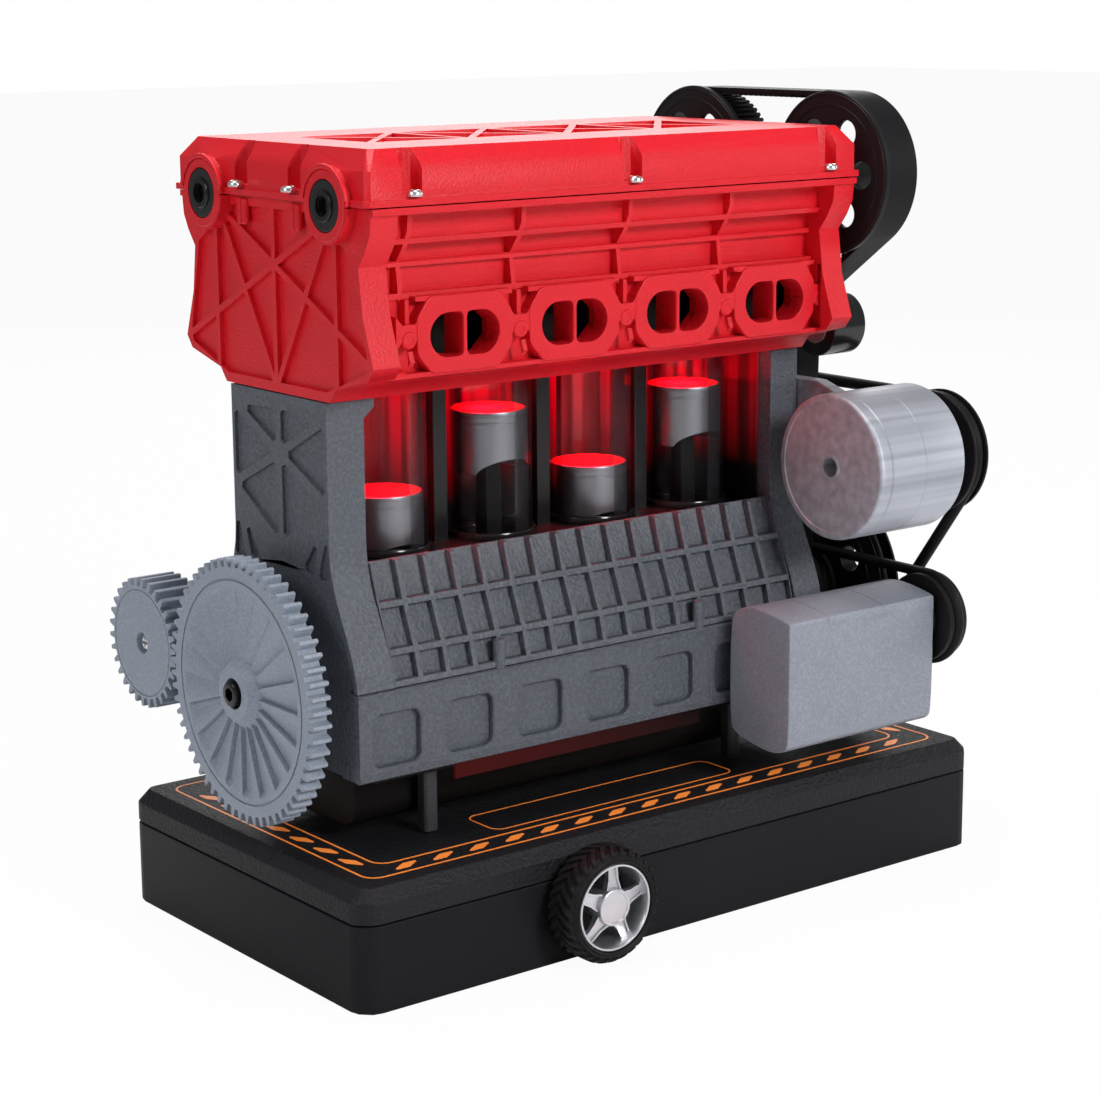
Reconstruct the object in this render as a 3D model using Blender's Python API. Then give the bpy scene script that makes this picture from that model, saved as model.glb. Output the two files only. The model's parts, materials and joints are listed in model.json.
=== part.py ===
"""Four stroke engine model on a base box.

Metres, +Z up. The front is at -Y and the timing end at +X. The origin is the middle of the base's underside.
"""

from math import asin, atan2, ceil, cos, hypot, pi, radians, sin, sqrt

import bmesh
import bpy
from mathutils import Vector

for item in list(bpy.data.objects):
    bpy.data.objects.remove(item, do_unlink=True)

# Clearances
gap = 0.0003
overrun = 0.002
weld = 0.000001
smooth_angle = radians(35)

# Base box
base_length = 0.190
base_depth = 0.101
base_height = 0.0281
base_corner = 0.0052
base_seam = 0.0201
base_wall = 0.0026
base_floor = 0.0022
lid_chamfer_height = 0.0029
lid_chamfer_inset = 0.0027
base_post_radius = 0.0036
base_post_inset = 0.0125

# Speed knob and its control
knob_x = -0.0327
knob_height = 0.0141
knob_tyre_radius = 0.0135
knob_rim_radius = 0.0104
knob_lip = 0.0011
knob_width = 0.0100
knob_standoff = 0.0005
knob_proud = 0.0010
knob_shoulder = 0.0016
knob_dish = 0.0012
knob_hub_radius = 0.0045
knob_window_depth = 0.0048
knob_spoke = 0.0020
knob_shaft_radius = 0.0030
control_radius = 0.0055
control_length = 0.0110
control_bore_depth = 0.0070
spoke_count = 5
knob_spoke_turn = radians(12)

# Legs and sump
leg_side = 0.0038
leg_height = 0.0153
leg_front_face = 0.0235
leg_left_offset = 0.0038
leg_right_offset = 0.0024
sump_half = 0.0185
sump_depth = 0.0130
sump_flange = 0.0014
sump_flange_half = 0.0270
sump_round = 0.0050
sump_inset = 0.0060

# Cylinder row and crank
engine_y = -0.0015
cylinder_row_x = -0.0083
cylinder_pitch = 0.0306
cylinder_count = 4
flywheel_side_margin = 0.0179
timing_side_margin = 0.0119
flywheel_plate = 0.0099
timing_plate = 0.0089
crank_radius = 0.0082
crank_below_skirt = 0.0032
journal_radius = 0.0040
crankpin_radius = 0.0035
web_start = 0.0038
web_thickness = 0.0032
web_hub_radius = 0.0065
web_pin_lobe = 0.0050
counterweight_radius = 0.0135
bearing_web_thickness = 0.0050
rod_length = 0.0409
rod_thickness = 0.0044
rod_big_end = 0.0058
rod_small_end = 0.0036
rod_shank_low = 0.0026
rod_shank_high = 0.0019
wrist_pin_radius = 0.0020

# Pistons and sleeves
piston_radius = 0.0095
piston_height = 0.0150
piston_crown = 0.0090
piston_roof = 0.0040
ring_groove_pitch = 0.0012
ring_groove_first = 0.0006
ring_groove_depth = 0.00045
skirt_arch_half = 0.0046
sleeve_wall = 0.0007
head_clearance = 0.0091
post_side = 0.0040

# Block
skirt_half = 0.0301
skirt_wall = 0.0040
skirt_height = 0.0203
skirt_panel_count = 7
skirt_panel_pitch = 0.0202
skirt_panel_shift = 0.0006
skirt_panel_width = 0.0130
skirt_panel_height = 0.0123
skirt_panel_rise = 0.0028
skirt_panel_round = 0.0024
skirt_panel_depth = 0.0012
crankcase_low_half = 0.0296
crankcase_row_half = 0.0276
crankcase_upper_half = 0.0235
crankcase_top_half = 0.0206
crankcase_low_row = 0.0075
crankcase_upper_row = 0.0100
crankcase_comb_row = 0.0091
crankcase_wall = 0.0044
crankcase_sill = 0.0028
crankcase_columns = 16
crankcase_rib = 0.0013
crankcase_pocket_depth = 0.0019
comb_depth = 0.0021
deck_drop = 0.0023
deck_thickness = 0.0026
plate_upper_half = 0.0198
plate_lower_half = 0.0301
plate_flare_top = 0.0342
plate_flare_height = 0.0330
plate_gusset = 0.0028
plate_gusset_height = 0.0040
truss_depth = 0.0009
truss_rib = 0.0022
truss_round = 0.0008
housing_radius = 0.0288
housing_depth = 0.0010

# Cylinder head
head_height = 0.0428
head_half = 0.0398
head_left_end = 0.0070
head_right_end = 0.0065
head_flank_recess = 0.0035
head_rib = 0.0012
head_truss_depth = 0.0011
head_truss_rib = 0.0015
port_width = 0.0260
port_top = 0.0230
port_height = 0.0171
port_recess = 0.0063
port_half = head_half - port_recess
port_hole_width = 0.0093
port_hole_height = 0.0100
port_hole_rise = 0.0033
port_septum = 0.0011
port_hole_round = 0.0034
port_web = 0.0015
lamp_half = 0.0040
lamp_thickness = 0.0013
lamp_overhang = 0.0094

# Valve cover
cover_height = 0.0120
cover_step = 0.0009
cover_half = head_half - cover_step
cover_overhang = 0.0009
cover_flange = 0.0008
cover_flange_height = 0.0014
cover_hip_height = 0.0044
cover_hip_inset = 0.0032
cover_corner = 0.0011
cover_wall = 0.0050
cover_roof = 0.0016
cover_screw_pitch = 0.0605
cover_screw_shift = 0.0010
cover_end_screw = 0.0110
cover_slot_radius = 0.0026
cover_slot_floor = 0.0024
cover_panel_length = 0.1095
cover_panel_half = 0.0160
cover_panel_depth = 0.0018
cover_panel_rib = 0.0018
cover_panel_bays = 4

# Camshafts
cam_side_clearance = 0.0144
cam_half_spacing = head_half - cam_side_clearance
cam_boss_radius = 0.0083
cam_boss_length = 0.0026
cam_journal_radius = 0.0056
cam_shaft_radius = 0.0038
cam_lobe_radius = 0.0042
cam_lobe_lift = 0.0010
cam_lobe_half = 0.0030
cam_cap_proud = 0.0003
cam_socket_width = 0.0044
cam_socket_depth = 0.0018

# Timing drive
belt_pitch = 0.0050
cam_teeth = 24
crank_teeth = 12
belt_thickness = 0.0012
belt_width = 0.0090
belt_tooth_height = 0.0012
pulley_flange = 0.0015
pulley_standoff = 0.0044
cam_hole_count = 6
cam_hole_radius = 0.0033
cam_hole_circle = 0.0112
tensioner_y = -0.0201
tensioner_rise = 0.0047
tensioner_radius = 0.0077
tensioner_width = 0.0105
roller_pin_radius = 0.0022

# Accessory drive
round_belt_radius = 0.0015
accessory_start = 0.0235
groove_flange = 0.0007
accessory_radius = 0.0249
accessory_rim = 0.0295
accessory_hole_circle = 0.0180
accessory_hole_radius = 0.0034
accessory_hole_count = 6
idler_y = 0.0065
idler_rise = 0.0046
idler_radius = 0.0090
idler_rim = 0.0108
alternator_y = -0.0435
alternator_height = 0.0412
alternator_radius = 0.0179
alternator_face = -0.0111
alternator_back = 0.0176
alternator_pulley_radius = 0.0136
alternator_pulley_rim = 0.0154
alternator_hub_radius = 0.0060
alternator_cap = 0.0037
alternator_groove = 0.0005
alternator_edge = 0.0012
alternator_hole_radius = 0.0030
alternator_hole_depth = 0.0020
lug_thickness = 0.0038
lug_top = 0.0182
lug_bottom = 0.0070
lug_inner = 0.0310
lug_knee = 0.0170
lug_slope = 0.0026
shaft_radius = 0.0025
shaft_engagement = 0.0100

# Compressor
compressor_belt_radius = 0.0013
compressor_wheel_radius = 0.0109
compressor_rim = 0.0111
compressor_y = -0.0466
compressor_start = 0.0176
compressor_flange = 0.0014
compressor_face = -0.0329
compressor_back = 0.0160
compressor_front = 0.0069
compressor_depth = 0.0214
compressor_height = 0.0351
compressor_drop = 0.0260
compressor_edge = 0.0014
compressor_collar = 0.0008
compressor_collar_width = 0.0060
peg_radius = 0.0015
peg_inset = 0.0022
peg_rise = 0.0086

# Flywheel and starter
gear_module = 0.0010
flywheel_teeth = 60
pinion_teeth = 30
flywheel_face = -0.0122
flywheel_thickness = 0.0048
fin_count = 20
fin_inner_radius = 0.0086
fin_outer_radius = 0.0244
fin_thickness = 0.0012
fin_depth = 0.0016
hub_low_radius = 0.0096
hub_top_radius = 0.0064
hub_rise = 0.0017
hub_collar_radius = 0.0070
hub_collar_gap = 0.0020
bolt_hole_radius = 0.0035
bolt_depth = 0.0040
bolt_socket_width = 0.0036
bolt_socket_depth = 0.0020
pinion_rise = 0.0028
pinion_width = 0.0105
pinion_face_shift = 0.0002
pinion_recess_radius = 0.0026
pinion_recess_depth = 0.0022
motor_radius = 0.0120
motor_length = 0.0252
motor_cap_radius = 0.0098
motor_cap_length = 0.0030
motor_ear_length = 0.0120
motor_ear_height = 0.0080
motor_ear_drop = 0.0015

# Shares of the sizes that they follow
head_outline_shares = (
    (0.540, 0.0), (0.603, 0.072), (0.920, 0.147), (0.975, 0.213), (0.884, 0.460), (0.849, 0.706),
    (0.920, 0.792), (0.965, 0.872), (0.977, 0.967),
)
head_front_row_shares = (
    (0.155, 0.540, 0.766), (0.540, 0.701, 0.716), (0.701, 0.820, 0.726), (0.820, 0.967, 0.827),
)
head_rear_row_shares = ((0.155, 0.540, 0.766), (0.701, 0.967, 0.810))
head_cavity_shares = ((0.452, 0.090), (0.666, 0.180), (0.666, 0.846), (0.784, 0.895))
head_panel_shares = ((0.515, 0.052), (0.905, 0.185), (0.920, 0.236), (0.804, 0.740), (0.422, 0.951))
head_truss_shares = (
    ((0.618, 0.0), (0.618, 1.0)), ((0.0, 0.0), (0.0, 1.0)), ((-0.618, 0.0), (-0.618, 1.0)),
    ((0.515, 0.834), (0.030, 0.070)), ((-0.515, 0.834), (-0.030, 0.070)),
    ((0.415, 0.860), (-0.922, 0.231)), ((-0.415, 0.860), (0.922, 0.231)),
)
truss_least_share = 0.0035
plate_node_shares = (
    (1.0, 0.895), (0.0, 0.930), (-1.0, 0.895), (0.0, 0.588), (1.0, 0.306), (-1.0, 0.306), (0.0, -0.070),
    (1.07, -0.250), (-1.07, -0.250), (0.68, -0.250), (-0.68, -0.250), (0.36, -0.190), (-0.36, -0.190),
)
plate_triangle_shares = (
    (0, 1, 3), (1, 2, 3), (0, 3, 4), (2, 5, 3), (3, 6, 4), (3, 5, 6), (4, 9, 7), (5, 8, 10), (4, 11, 9), (5, 10, 12),
)
port_outline_shares = ((1.0, 1.0), (1.0, 0.42), (0.78, 0.05), (0.34, 0.0), (0.0, 0.14))
compressor_shares = (
    (0.0, 0.10), (0.0, 0.90), (0.07, 0.955), (0.36, 0.99), (0.66, 1.0), (0.90, 0.955), (1.0, 0.86),
    (1.0, 0.14), (0.91, 0.06), (0.55, 0.015), (0.26, 0.0), (0.06, 0.04),
)
tooth_tip_share = 0.85
tooth_root_share = 1.30
tooth_half_share = 0.62
tooth_slope_share = 0.25
belt_tooth_top_share = 0.26
belt_tooth_root_share = 0.36

# Counts of facets
fine_steps = 24
round_steps = 16
small_steps = 12
tiny_steps = 8

# Places that follow from the sizes above
cylinder_x = [cylinder_row_x + (i - (cylinder_count - 1) / 2) * cylinder_pitch for i in range(cylinder_count)]
inner_left = cylinder_x[0] - flywheel_side_margin
inner_right = cylinder_x[-1] + timing_side_margin
block_left = inner_left - flywheel_plate
block_right = inner_right + timing_plate
block_middle = (block_left + block_right) / 2
leg_bottom = base_height + gap
flange_bottom = leg_bottom + leg_height
sump_top = flange_bottom + gap + sump_flange
skirt_bottom = sump_top + gap
skirt_top = skirt_bottom + skirt_height
crank_z = skirt_top - crank_below_skirt
crankcase_bottom = skirt_top + gap
row_one = crankcase_bottom + crankcase_low_row
row_two = row_one + crankcase_upper_row
crankcase_top = row_two + crankcase_comb_row
deck_top = crankcase_top - deck_drop
deck_bottom = deck_top - deck_thickness
deck_half = crankcase_top_half - crankcase_sill - gap
bore_radius = piston_radius + gap
sleeve_radius = bore_radius + sleeve_wall
sleeve_bottom = deck_top + gap
sleeve_top = crank_z + crank_radius + rod_length + piston_crown + head_clearance
head_bottom = sleeve_top + gap
head_top = head_bottom + head_height
cover_bottom = head_top + gap
cover_top = cover_bottom + cover_height
cam_z = head_top + gap / 2
cam_y = {"front": engine_y - cam_half_spacing, "rear": engine_y + cam_half_spacing}
pulley_near = block_right + pulley_standoff
belt_near = pulley_near + pulley_flange + gap
belt_far = belt_near + belt_width
pulley_far = belt_far + gap + pulley_flange
cam_pitch_radius = cam_teeth * belt_pitch / (2 * pi)
crank_pitch_radius = crank_teeth * belt_pitch / (2 * pi)
tooth_top_drop = belt_thickness / 2 + gap
tensioner_spot = (engine_y + tensioner_y, head_bottom + tensioner_rise)
crank_spot = (engine_y, crank_z)
accessory_near = block_right + accessory_start
accessory_groove = accessory_near + groove_flange
accessory_belt_x = accessory_groove + gap + round_belt_radius
accessory_far = accessory_belt_x + round_belt_radius + gap + groove_flange
alternator_spot = (engine_y + alternator_y, crank_z + alternator_height)
idler_spot = (engine_y + idler_y, crank_z + alternator_height + idler_rise)
alternator_near = block_right + alternator_face
alternator_far = block_right + alternator_back
compressor_spot = (engine_y + compressor_y, crank_z)
compressor_near = block_right + compressor_face
compressor_far = block_right + compressor_back
compressor_wheel_near = block_right + compressor_start
compressor_belt_x = compressor_wheel_near + compressor_flange + gap + compressor_belt_radius
compressor_wheel_far = compressor_belt_x + compressor_belt_radius + gap + compressor_flange
flywheel_near = block_left + flywheel_face
flywheel_far = flywheel_near + flywheel_thickness
bolt_seat = flywheel_near - hub_rise + bolt_depth
gear_distance = gear_module * (flywheel_teeth + pinion_teeth) / 2
pinion_spot = (engine_y + sqrt(gear_distance**2 - pinion_rise**2), crank_z + pinion_rise)
pinion_near = flywheel_near + pinion_face_shift
pinion_far = pinion_near + pinion_width
motor_near = pinion_far + gap

looks = {
    "black_plastic": ((0.012, 0.012, 0.013), 0.62, 0.0),
    "rubber": ((0.010, 0.010, 0.011), 0.85, 0.0),
    "silver": ((0.62, 0.63, 0.65), 0.32, 0.9),
    "grey_plastic": ((0.085, 0.095, 0.110), 0.58, 0.0),
    "gear_grey": ((0.170, 0.190, 0.215), 0.48, 0.1),
    "red_plastic": ((0.620, 0.018, 0.032), 0.42, 0.0),
    "clear_plastic": ((0.900, 0.920, 0.930), 0.06, 0.0),
    "steel": ((0.420, 0.430, 0.440), 0.30, 1.0),
    "lamp": ((0.900, 0.060, 0.050), 0.35, 0.0),
}


def spot(axis, flat, height):
    """A point at this height along the axis and at these two other coordinates."""
    first, second = flat
    if axis == "x":
        return Vector((height, first, second))
    if axis == "y":
        return Vector((first, height, second))
    return Vector((first, second, height))


def prism(mesh, outline, axis, low, high):
    corners = [mesh.verts.new(spot(axis, flat, low)) for flat in outline]
    made = bmesh.ops.extrude_face_region(mesh, geom=[mesh.faces.new(corners)])
    risen = [part for part in made["geom"] if isinstance(part, bmesh.types.BMVert)]
    bmesh.ops.translate(mesh, verts=risen, vec=spot(axis, (0, 0), high - low))


def prisms(outlines, axis, low, high):
    mesh = bmesh.new()
    for outline in outlines:
        prism(mesh, outline, axis, low, high)
    return mesh


def turned(mesh, profile, axis, centre, steps, closed=False):
    """Spins (place along the axis, radius) points round the axis."""
    first, second = centre
    corners = [mesh.verts.new(spot(axis, (first + radius, second), along)) for along, radius in profile]
    edges = [mesh.edges.new(pair) for pair in zip(corners, corners[1:])]
    if closed:
        edges.append(mesh.edges.new((corners[-1], corners[0])))
    bmesh.ops.spin(
        mesh,
        geom=corners + edges,
        cent=spot(axis, centre, 0),
        axis=spot(axis, (0, 0), 1),
        angle=2 * pi,
        steps=steps,
    )
    bmesh.ops.remove_doubles(mesh, verts=mesh.verts, dist=weld)


def rod_round(mesh, axis, centre, radius, low, high, steps):
    turned(mesh, ((low, 0), (low, radius), (high, radius), (high, 0)), axis, centre, steps)


def tube_round(mesh, axis, centre, inner, outer, low, high, steps):
    turned(mesh, ((low, inner), (low, outer), (high, outer), (high, inner)), axis, centre, steps, closed=True)


def loft(mesh, sections):
    rings = [[mesh.verts.new(point) for point in section] for section in sections]
    count = len(rings[0])
    for near, far in zip(rings, rings[1:]):
        for i in range(count):
            mesh.faces.new((near[i], near[i - 1], far[i - 1], far[i]))
    mesh.faces.new(rings[0])
    mesh.faces.new(rings[-1])
    bmesh.ops.remove_doubles(mesh, verts=mesh.verts, dist=weld)


def rounded(outline, radius, steps):
    """The outline with each corner turned into an arc of this many runs."""
    points = []
    for i, corner in enumerate(outline):
        here = Vector(corner)
        back = Vector(outline[i - 1]) - here
        on = Vector(outline[(i + 1) % len(outline)]) - here
        half = back.angle(on) / 2
        reach = min(radius * cos(half) / sin(half), back.length / 2 - weld, on.length / 2 - weld)
        size = reach * sin(half) / cos(half)
        middle = here + (back.normalized() + on.normalized()).normalized() * size / sin(half)
        start = here + back.normalized() * reach - middle
        end = here + on.normalized() * reach - middle
        for k in range(steps + 1):
            turn = start.lerp(end, k / steps)
            points.append(tuple(middle + turn.normalized() * size))
    return points


def area_of(outline):
    return sum(a[0] * b[1] - b[0] * a[1] for a, b in zip(outline[-1:] + outline[:-1], outline)) / 2


def clipped(outline, point, normal):
    """The part of an outline on the side of the line that the normal points to."""
    kept = []
    sides = [(Vector(flat) - point).dot(normal) for flat in outline]
    for i, flat in enumerate(outline):
        before, here = sides[i - 1], sides[i]
        if (before < 0) != (here < 0):
            share = before / (before - here)
            kept.append(tuple(Vector(outline[i - 1]).lerp(Vector(flat), share)))
        if here >= 0:
            kept.append(flat)
    return kept


def split(outlines, start, end, rib, least):
    """Cuts outlines along a line and draws each side back by half a rib."""
    along = (Vector(end) - Vector(start)).normalized()
    normal = Vector((-along.y, along.x))
    parts = []
    for outline in outlines:
        for side in (normal, -normal):
            part = clipped(outline, Vector(start) + side * rib / 2, side)
            if len(part) > 2 and abs(area_of(part)) > least:
                parts.append(part)
    return parts


def drawn_in(outline, margin):
    """A convex outline moved inwards by the margin."""
    turn = 1 if area_of(outline) > 0 else -1
    for i in range(len(outline)):
        start, end = Vector(outline[i - 1]), Vector(outline[i])
        along = (end - start).normalized()
        normal = Vector((-along.y, along.x)) * turn
        if i == 0:
            part = clipped(outline, start + normal * margin, normal)
        else:
            part = clipped(part, start + normal * margin, normal)
    return part


def gear_outline(centre, teeth, radius, tip, root, half, slope, phase):
    """Four points a tooth: half is the tooth's half thickness at the radius."""
    points = []
    for tooth in range(teeth):
        middle = phase + 2 * pi * tooth / teeth
        root_half = (half + root * slope) / radius
        tip_half = (half - tip * slope) / radius
        for reach, turn in (
            (radius - root, -root_half), (radius + tip, -tip_half), (radius + tip, tip_half), (radius - root, root_half),
        ):
            points.append((centre[0] + reach * cos(middle + turn), centre[1] + reach * sin(middle + turn)))
    return points


def circle(centre, radius, steps, start=0, sweep=2 * pi):
    """Points of a full circle, or of an arc with both its ends."""
    count = steps if sweep == 2 * pi else steps + 1
    turns = [start + sweep * i / steps for i in range(count)]
    return [(centre[0] + radius * cos(turn), centre[1] + radius * sin(turn)) for turn in turns]


def box_outline(centre, width, height):
    x, y = centre
    return [
        (x - width / 2, y - height / 2), (x + width / 2, y - height / 2),
        (x + width / 2, y + height / 2), (x - width / 2, y + height / 2),
    ]


def belt_path(wheels, arc_step, offset=0):
    """A belt's centreline round (centre, signed radius) wheels, negative where it bends the other way."""
    count = len(wheels)
    headings = []
    for i in range(count):
        (start, near), (end, far) = wheels[i], wheels[(i + 1) % count]
        run = Vector(end) - Vector(start)
        headings.append(atan2(run.y, run.x) + asin((near - far) / run.length))
    points = []
    for i, (centre, radius) in enumerate(wheels):
        sweep = (headings[i] - headings[i - 1]) % (2 * pi)
        if radius < 0:
            sweep -= 2 * pi
        parts = max(1, ceil(abs(sweep) / arc_step))
        for k in range(parts + 1):
            turn = headings[i - 1] + sweep * k / parts
            reach = radius + offset
            points.append((centre[0] + reach * sin(turn), centre[1] - reach * cos(turn)))
    return points


def painted(name, look):
    colour, rough, metal = looks[look]
    paint = bpy.data.materials.new(name)
    paint.use_nodes = True
    shader = paint.node_tree.nodes["Principled BSDF"]
    shader.inputs["Base Color"].default_value = (*colour, 1)
    shader.inputs["Roughness"].default_value = rough
    shader.inputs["Metallic"].default_value = metal
    return paint


def shape(name, mesh, origin=(0, 0, 0)):
    bmesh.ops.recalc_face_normals(mesh, faces=mesh.faces)
    bmesh.ops.translate(mesh, verts=mesh.verts, vec=-Vector(origin))
    data = bpy.data.meshes.new(name)
    mesh.to_mesh(data)
    mesh.free()
    data.shade_smooth()
    data.set_sharp_from_angle(angle=smooth_angle)
    return data


def placed(name, data, look, origin=(0, 0, 0)):
    item = bpy.data.objects.new(name, data)
    item.location = origin
    bpy.context.collection.objects.link(item)
    if not data.materials:
        data.materials.append(painted(name, look))
    return item


def piece(name, mesh, look, origin=(0, 0, 0)):
    return placed(name, shape(name, mesh, origin), look, origin)


def shaped(item, mesh, operation):
    """Adds a Boolean to the item with the mesh as its tool."""
    tool = bpy.data.objects.new(item.name + "_" + operation.lower(), shape(item.name + "_tool", mesh))
    bpy.context.collection.objects.link(tool)
    tool.hide_render = True
    tool.display_type = "WIRE"
    change = item.modifiers.new(operation.title(), "BOOLEAN")
    change.operation = operation
    change.solver = "EXACT"
    change.object = tool


def cut(item, mesh):
    shaped(item, mesh, "DIFFERENCE")


def join(item, mesh):
    shaped(item, mesh, "UNION")


def settled(item):
    """The item's mesh with its Booleans done, for copies to share. The item and its tools are removed."""
    bpy.context.view_layer.update()
    source = item.evaluated_get(bpy.context.evaluated_depsgraph_get())
    data = bpy.data.meshes.new_from_object(source)
    for change in item.modifiers:
        bpy.data.objects.remove(change.object, do_unlink=True)
    bpy.data.objects.remove(item, do_unlink=True)
    return data


def base_outline(inset):
    corner = base_corner - inset
    return rounded(box_outline((0, 0), base_length - 2 * inset, base_depth - 2 * inset), corner, 3)


def make_base():
    mesh = bmesh.new()
    prism(mesh, base_outline(0), "z", 0, base_seam)
    tray = piece("base_tray", mesh, "black_plastic")
    mesh = bmesh.new()
    prism(mesh, base_outline(base_wall), "z", base_floor, base_seam + overrun)
    cut(tray, mesh)
    mesh = bmesh.new()
    for side in (-1, 1):
        for end in (-1, 1):
            place = (end * (base_length / 2 - base_post_inset), side * (base_depth / 2 - base_post_inset))
            rod_round(mesh, "z", place, base_post_radius, base_floor / 2, base_seam - gap, tiny_steps)
    join(tray, mesh)
    mesh = bmesh.new()
    front = -base_depth / 2
    wall_cut = (front - overrun, front + base_wall + overrun)
    rod_round(mesh, "y", (knob_x, knob_height), knob_shaft_radius + gap, *wall_cut, small_steps)
    cut(tray, mesh)

    mesh = bmesh.new()
    shoulder = base_height - lid_chamfer_height
    levels = ((base_seam + gap, 0), (shoulder, 0), (base_height, lid_chamfer_inset))
    loft(mesh, [[spot("z", flat, level) for flat in base_outline(inset)] for level, inset in levels])
    lid = piece("base_lid", mesh, "black_plastic")
    mesh = bmesh.new()
    prism(mesh, base_outline(lid_chamfer_inset + base_wall / 2), "z", base_seam - overrun, shoulder)
    cut(lid, mesh)


def make_knob():
    centre = (knob_x, knob_height)
    wall_face = -base_depth / 2
    back = wall_face - knob_standoff
    front = back - knob_width
    inner = knob_rim_radius + gap
    lip = knob_shoulder / 2
    mesh = bmesh.new()
    profile = (
        (back, inner), (back, knob_tyre_radius - knob_shoulder), (back - lip, knob_tyre_radius),
        (front + lip, knob_tyre_radius), (front, knob_tyre_radius - knob_shoulder), (front, inner),
    )
    origin = spot("y", centre, back)
    turned(mesh, profile, "y", centre, fine_steps, closed=True)
    piece("knob_tyre", mesh, "rubber", origin)

    inside = wall_face + base_wall + gap
    shaft_end = inside + control_bore_depth - gap
    face = front + knob_proud
    mesh = bmesh.new()
    profile = (
        (shaft_end, 0), (shaft_end, knob_shaft_radius), (back, knob_shaft_radius), (back, knob_rim_radius),
        (face, knob_rim_radius), (face, knob_rim_radius - knob_lip), (face + knob_dish, knob_hub_radius + knob_lip),
        (face + knob_dish, knob_hub_radius), (face, knob_hub_radius), (face - knob_lip / 2, knob_hub_radius / 2),
        (face - knob_lip / 2, 0),
    )
    turned(mesh, profile, "y", centre, round_steps)
    rim = piece("knob_rim", mesh, "silver", origin)
    mesh = bmesh.new()
    low, high = knob_hub_radius + knob_lip, knob_rim_radius - knob_lip
    for k in range(spoke_count):
        middle = knob_spoke_turn + 2 * pi * (k + 1 / 2) / spoke_count
        near_half = pi / spoke_count - asin(knob_spoke / 2 / low)
        far_half = pi / spoke_count - asin(knob_spoke / 2 / high)
        window = circle(centre, low, 1, middle - near_half, 2 * near_half)
        window += circle(centre, high, 2, middle + far_half, -2 * far_half)
        prism(mesh, window, "y", face - overrun, face + knob_window_depth)
    cut(rim, mesh)

    mesh = bmesh.new()
    rod_round(mesh, "y", centre, control_radius, inside, inside + control_length, round_steps)
    control = piece("speed_control", mesh, "steel")
    mesh = bmesh.new()
    bore = (inside - overrun, inside + control_bore_depth)
    rod_round(mesh, "y", centre, knob_shaft_radius + gap, *bore, small_steps)
    cut(control, mesh)


def make_legs_and_sump():
    places = {
        "left": cylinder_x[0] - leg_left_offset,
        "right": cylinder_x[-1] - leg_right_offset,
    }
    for end, x in places.items():
        for side, turn in (("front", -1), ("rear", 1)):
            y = engine_y + turn * (leg_front_face - leg_side / 2)
            mesh = bmesh.new()
            foot = rounded(box_outline((0, 0), leg_side, leg_side), leg_side / 6, 1)
            prism(mesh, foot, "z", 0, leg_height)
            data = shape("leg", mesh)
            placed(f"leg_{side}_{end}", data, "black_plastic", (x, y, leg_bottom))
    low = flange_bottom + gap - sump_depth
    outline = [
        (engine_y - sump_half, flange_bottom + gap), (engine_y - sump_flange_half, flange_bottom + gap),
        (engine_y - sump_flange_half, sump_top), (engine_y + sump_flange_half, sump_top),
        (engine_y + sump_flange_half, flange_bottom + gap), (engine_y + sump_half, flange_bottom + gap),
    ]
    right_edge = circle((engine_y + sump_half - sump_round, low + sump_round), sump_round, 3, 0, -pi / 2)
    left_edge = circle((engine_y - sump_half + sump_round, low + sump_round), sump_round, 3, -pi / 2, -pi / 2)
    mesh = bmesh.new()
    prism(mesh, outline + right_edge + left_edge, "x", block_left + sump_inset, block_right - sump_inset)
    piece("oil_sump", mesh, "black_plastic")


def crankcase_outline(side):
    inner_half = deck_half + gap
    points = (
        (crankcase_low_half, crankcase_bottom), (crankcase_row_half, row_one), (crankcase_upper_half, row_two),
        (crankcase_top_half, crankcase_top), (inner_half, crankcase_top), (inner_half, deck_bottom - gap),
        (crankcase_row_half - crankcase_wall, row_one), (crankcase_low_half - crankcase_wall, crankcase_bottom),
    )
    return [(engine_y + side * half, z) for half, z in points]


def outer_half(z):
    """Half width of the crankcase's outer face at this height."""
    levels = (crankcase_bottom, row_one, row_two, crankcase_top)
    halves = (crankcase_low_half, crankcase_row_half, crankcase_upper_half, crankcase_top_half)
    for i in range(3):
        if z <= levels[i + 1] or i == 2:
            share = (z - levels[i]) / (levels[i + 1] - levels[i])
            return halves[i] + share * (halves[i + 1] - halves[i])


def pocket_outline(side, levels, depth):
    """Follows the crankcase's sloped side at a depth under it, through these heights."""
    inner = [(engine_y + side * (outer_half(z) - depth), z) for z in levels]
    outer = [(engine_y + side * (crankcase_low_half + overrun), z) for z in (levels[-1], levels[0])]
    return inner + outer


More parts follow.
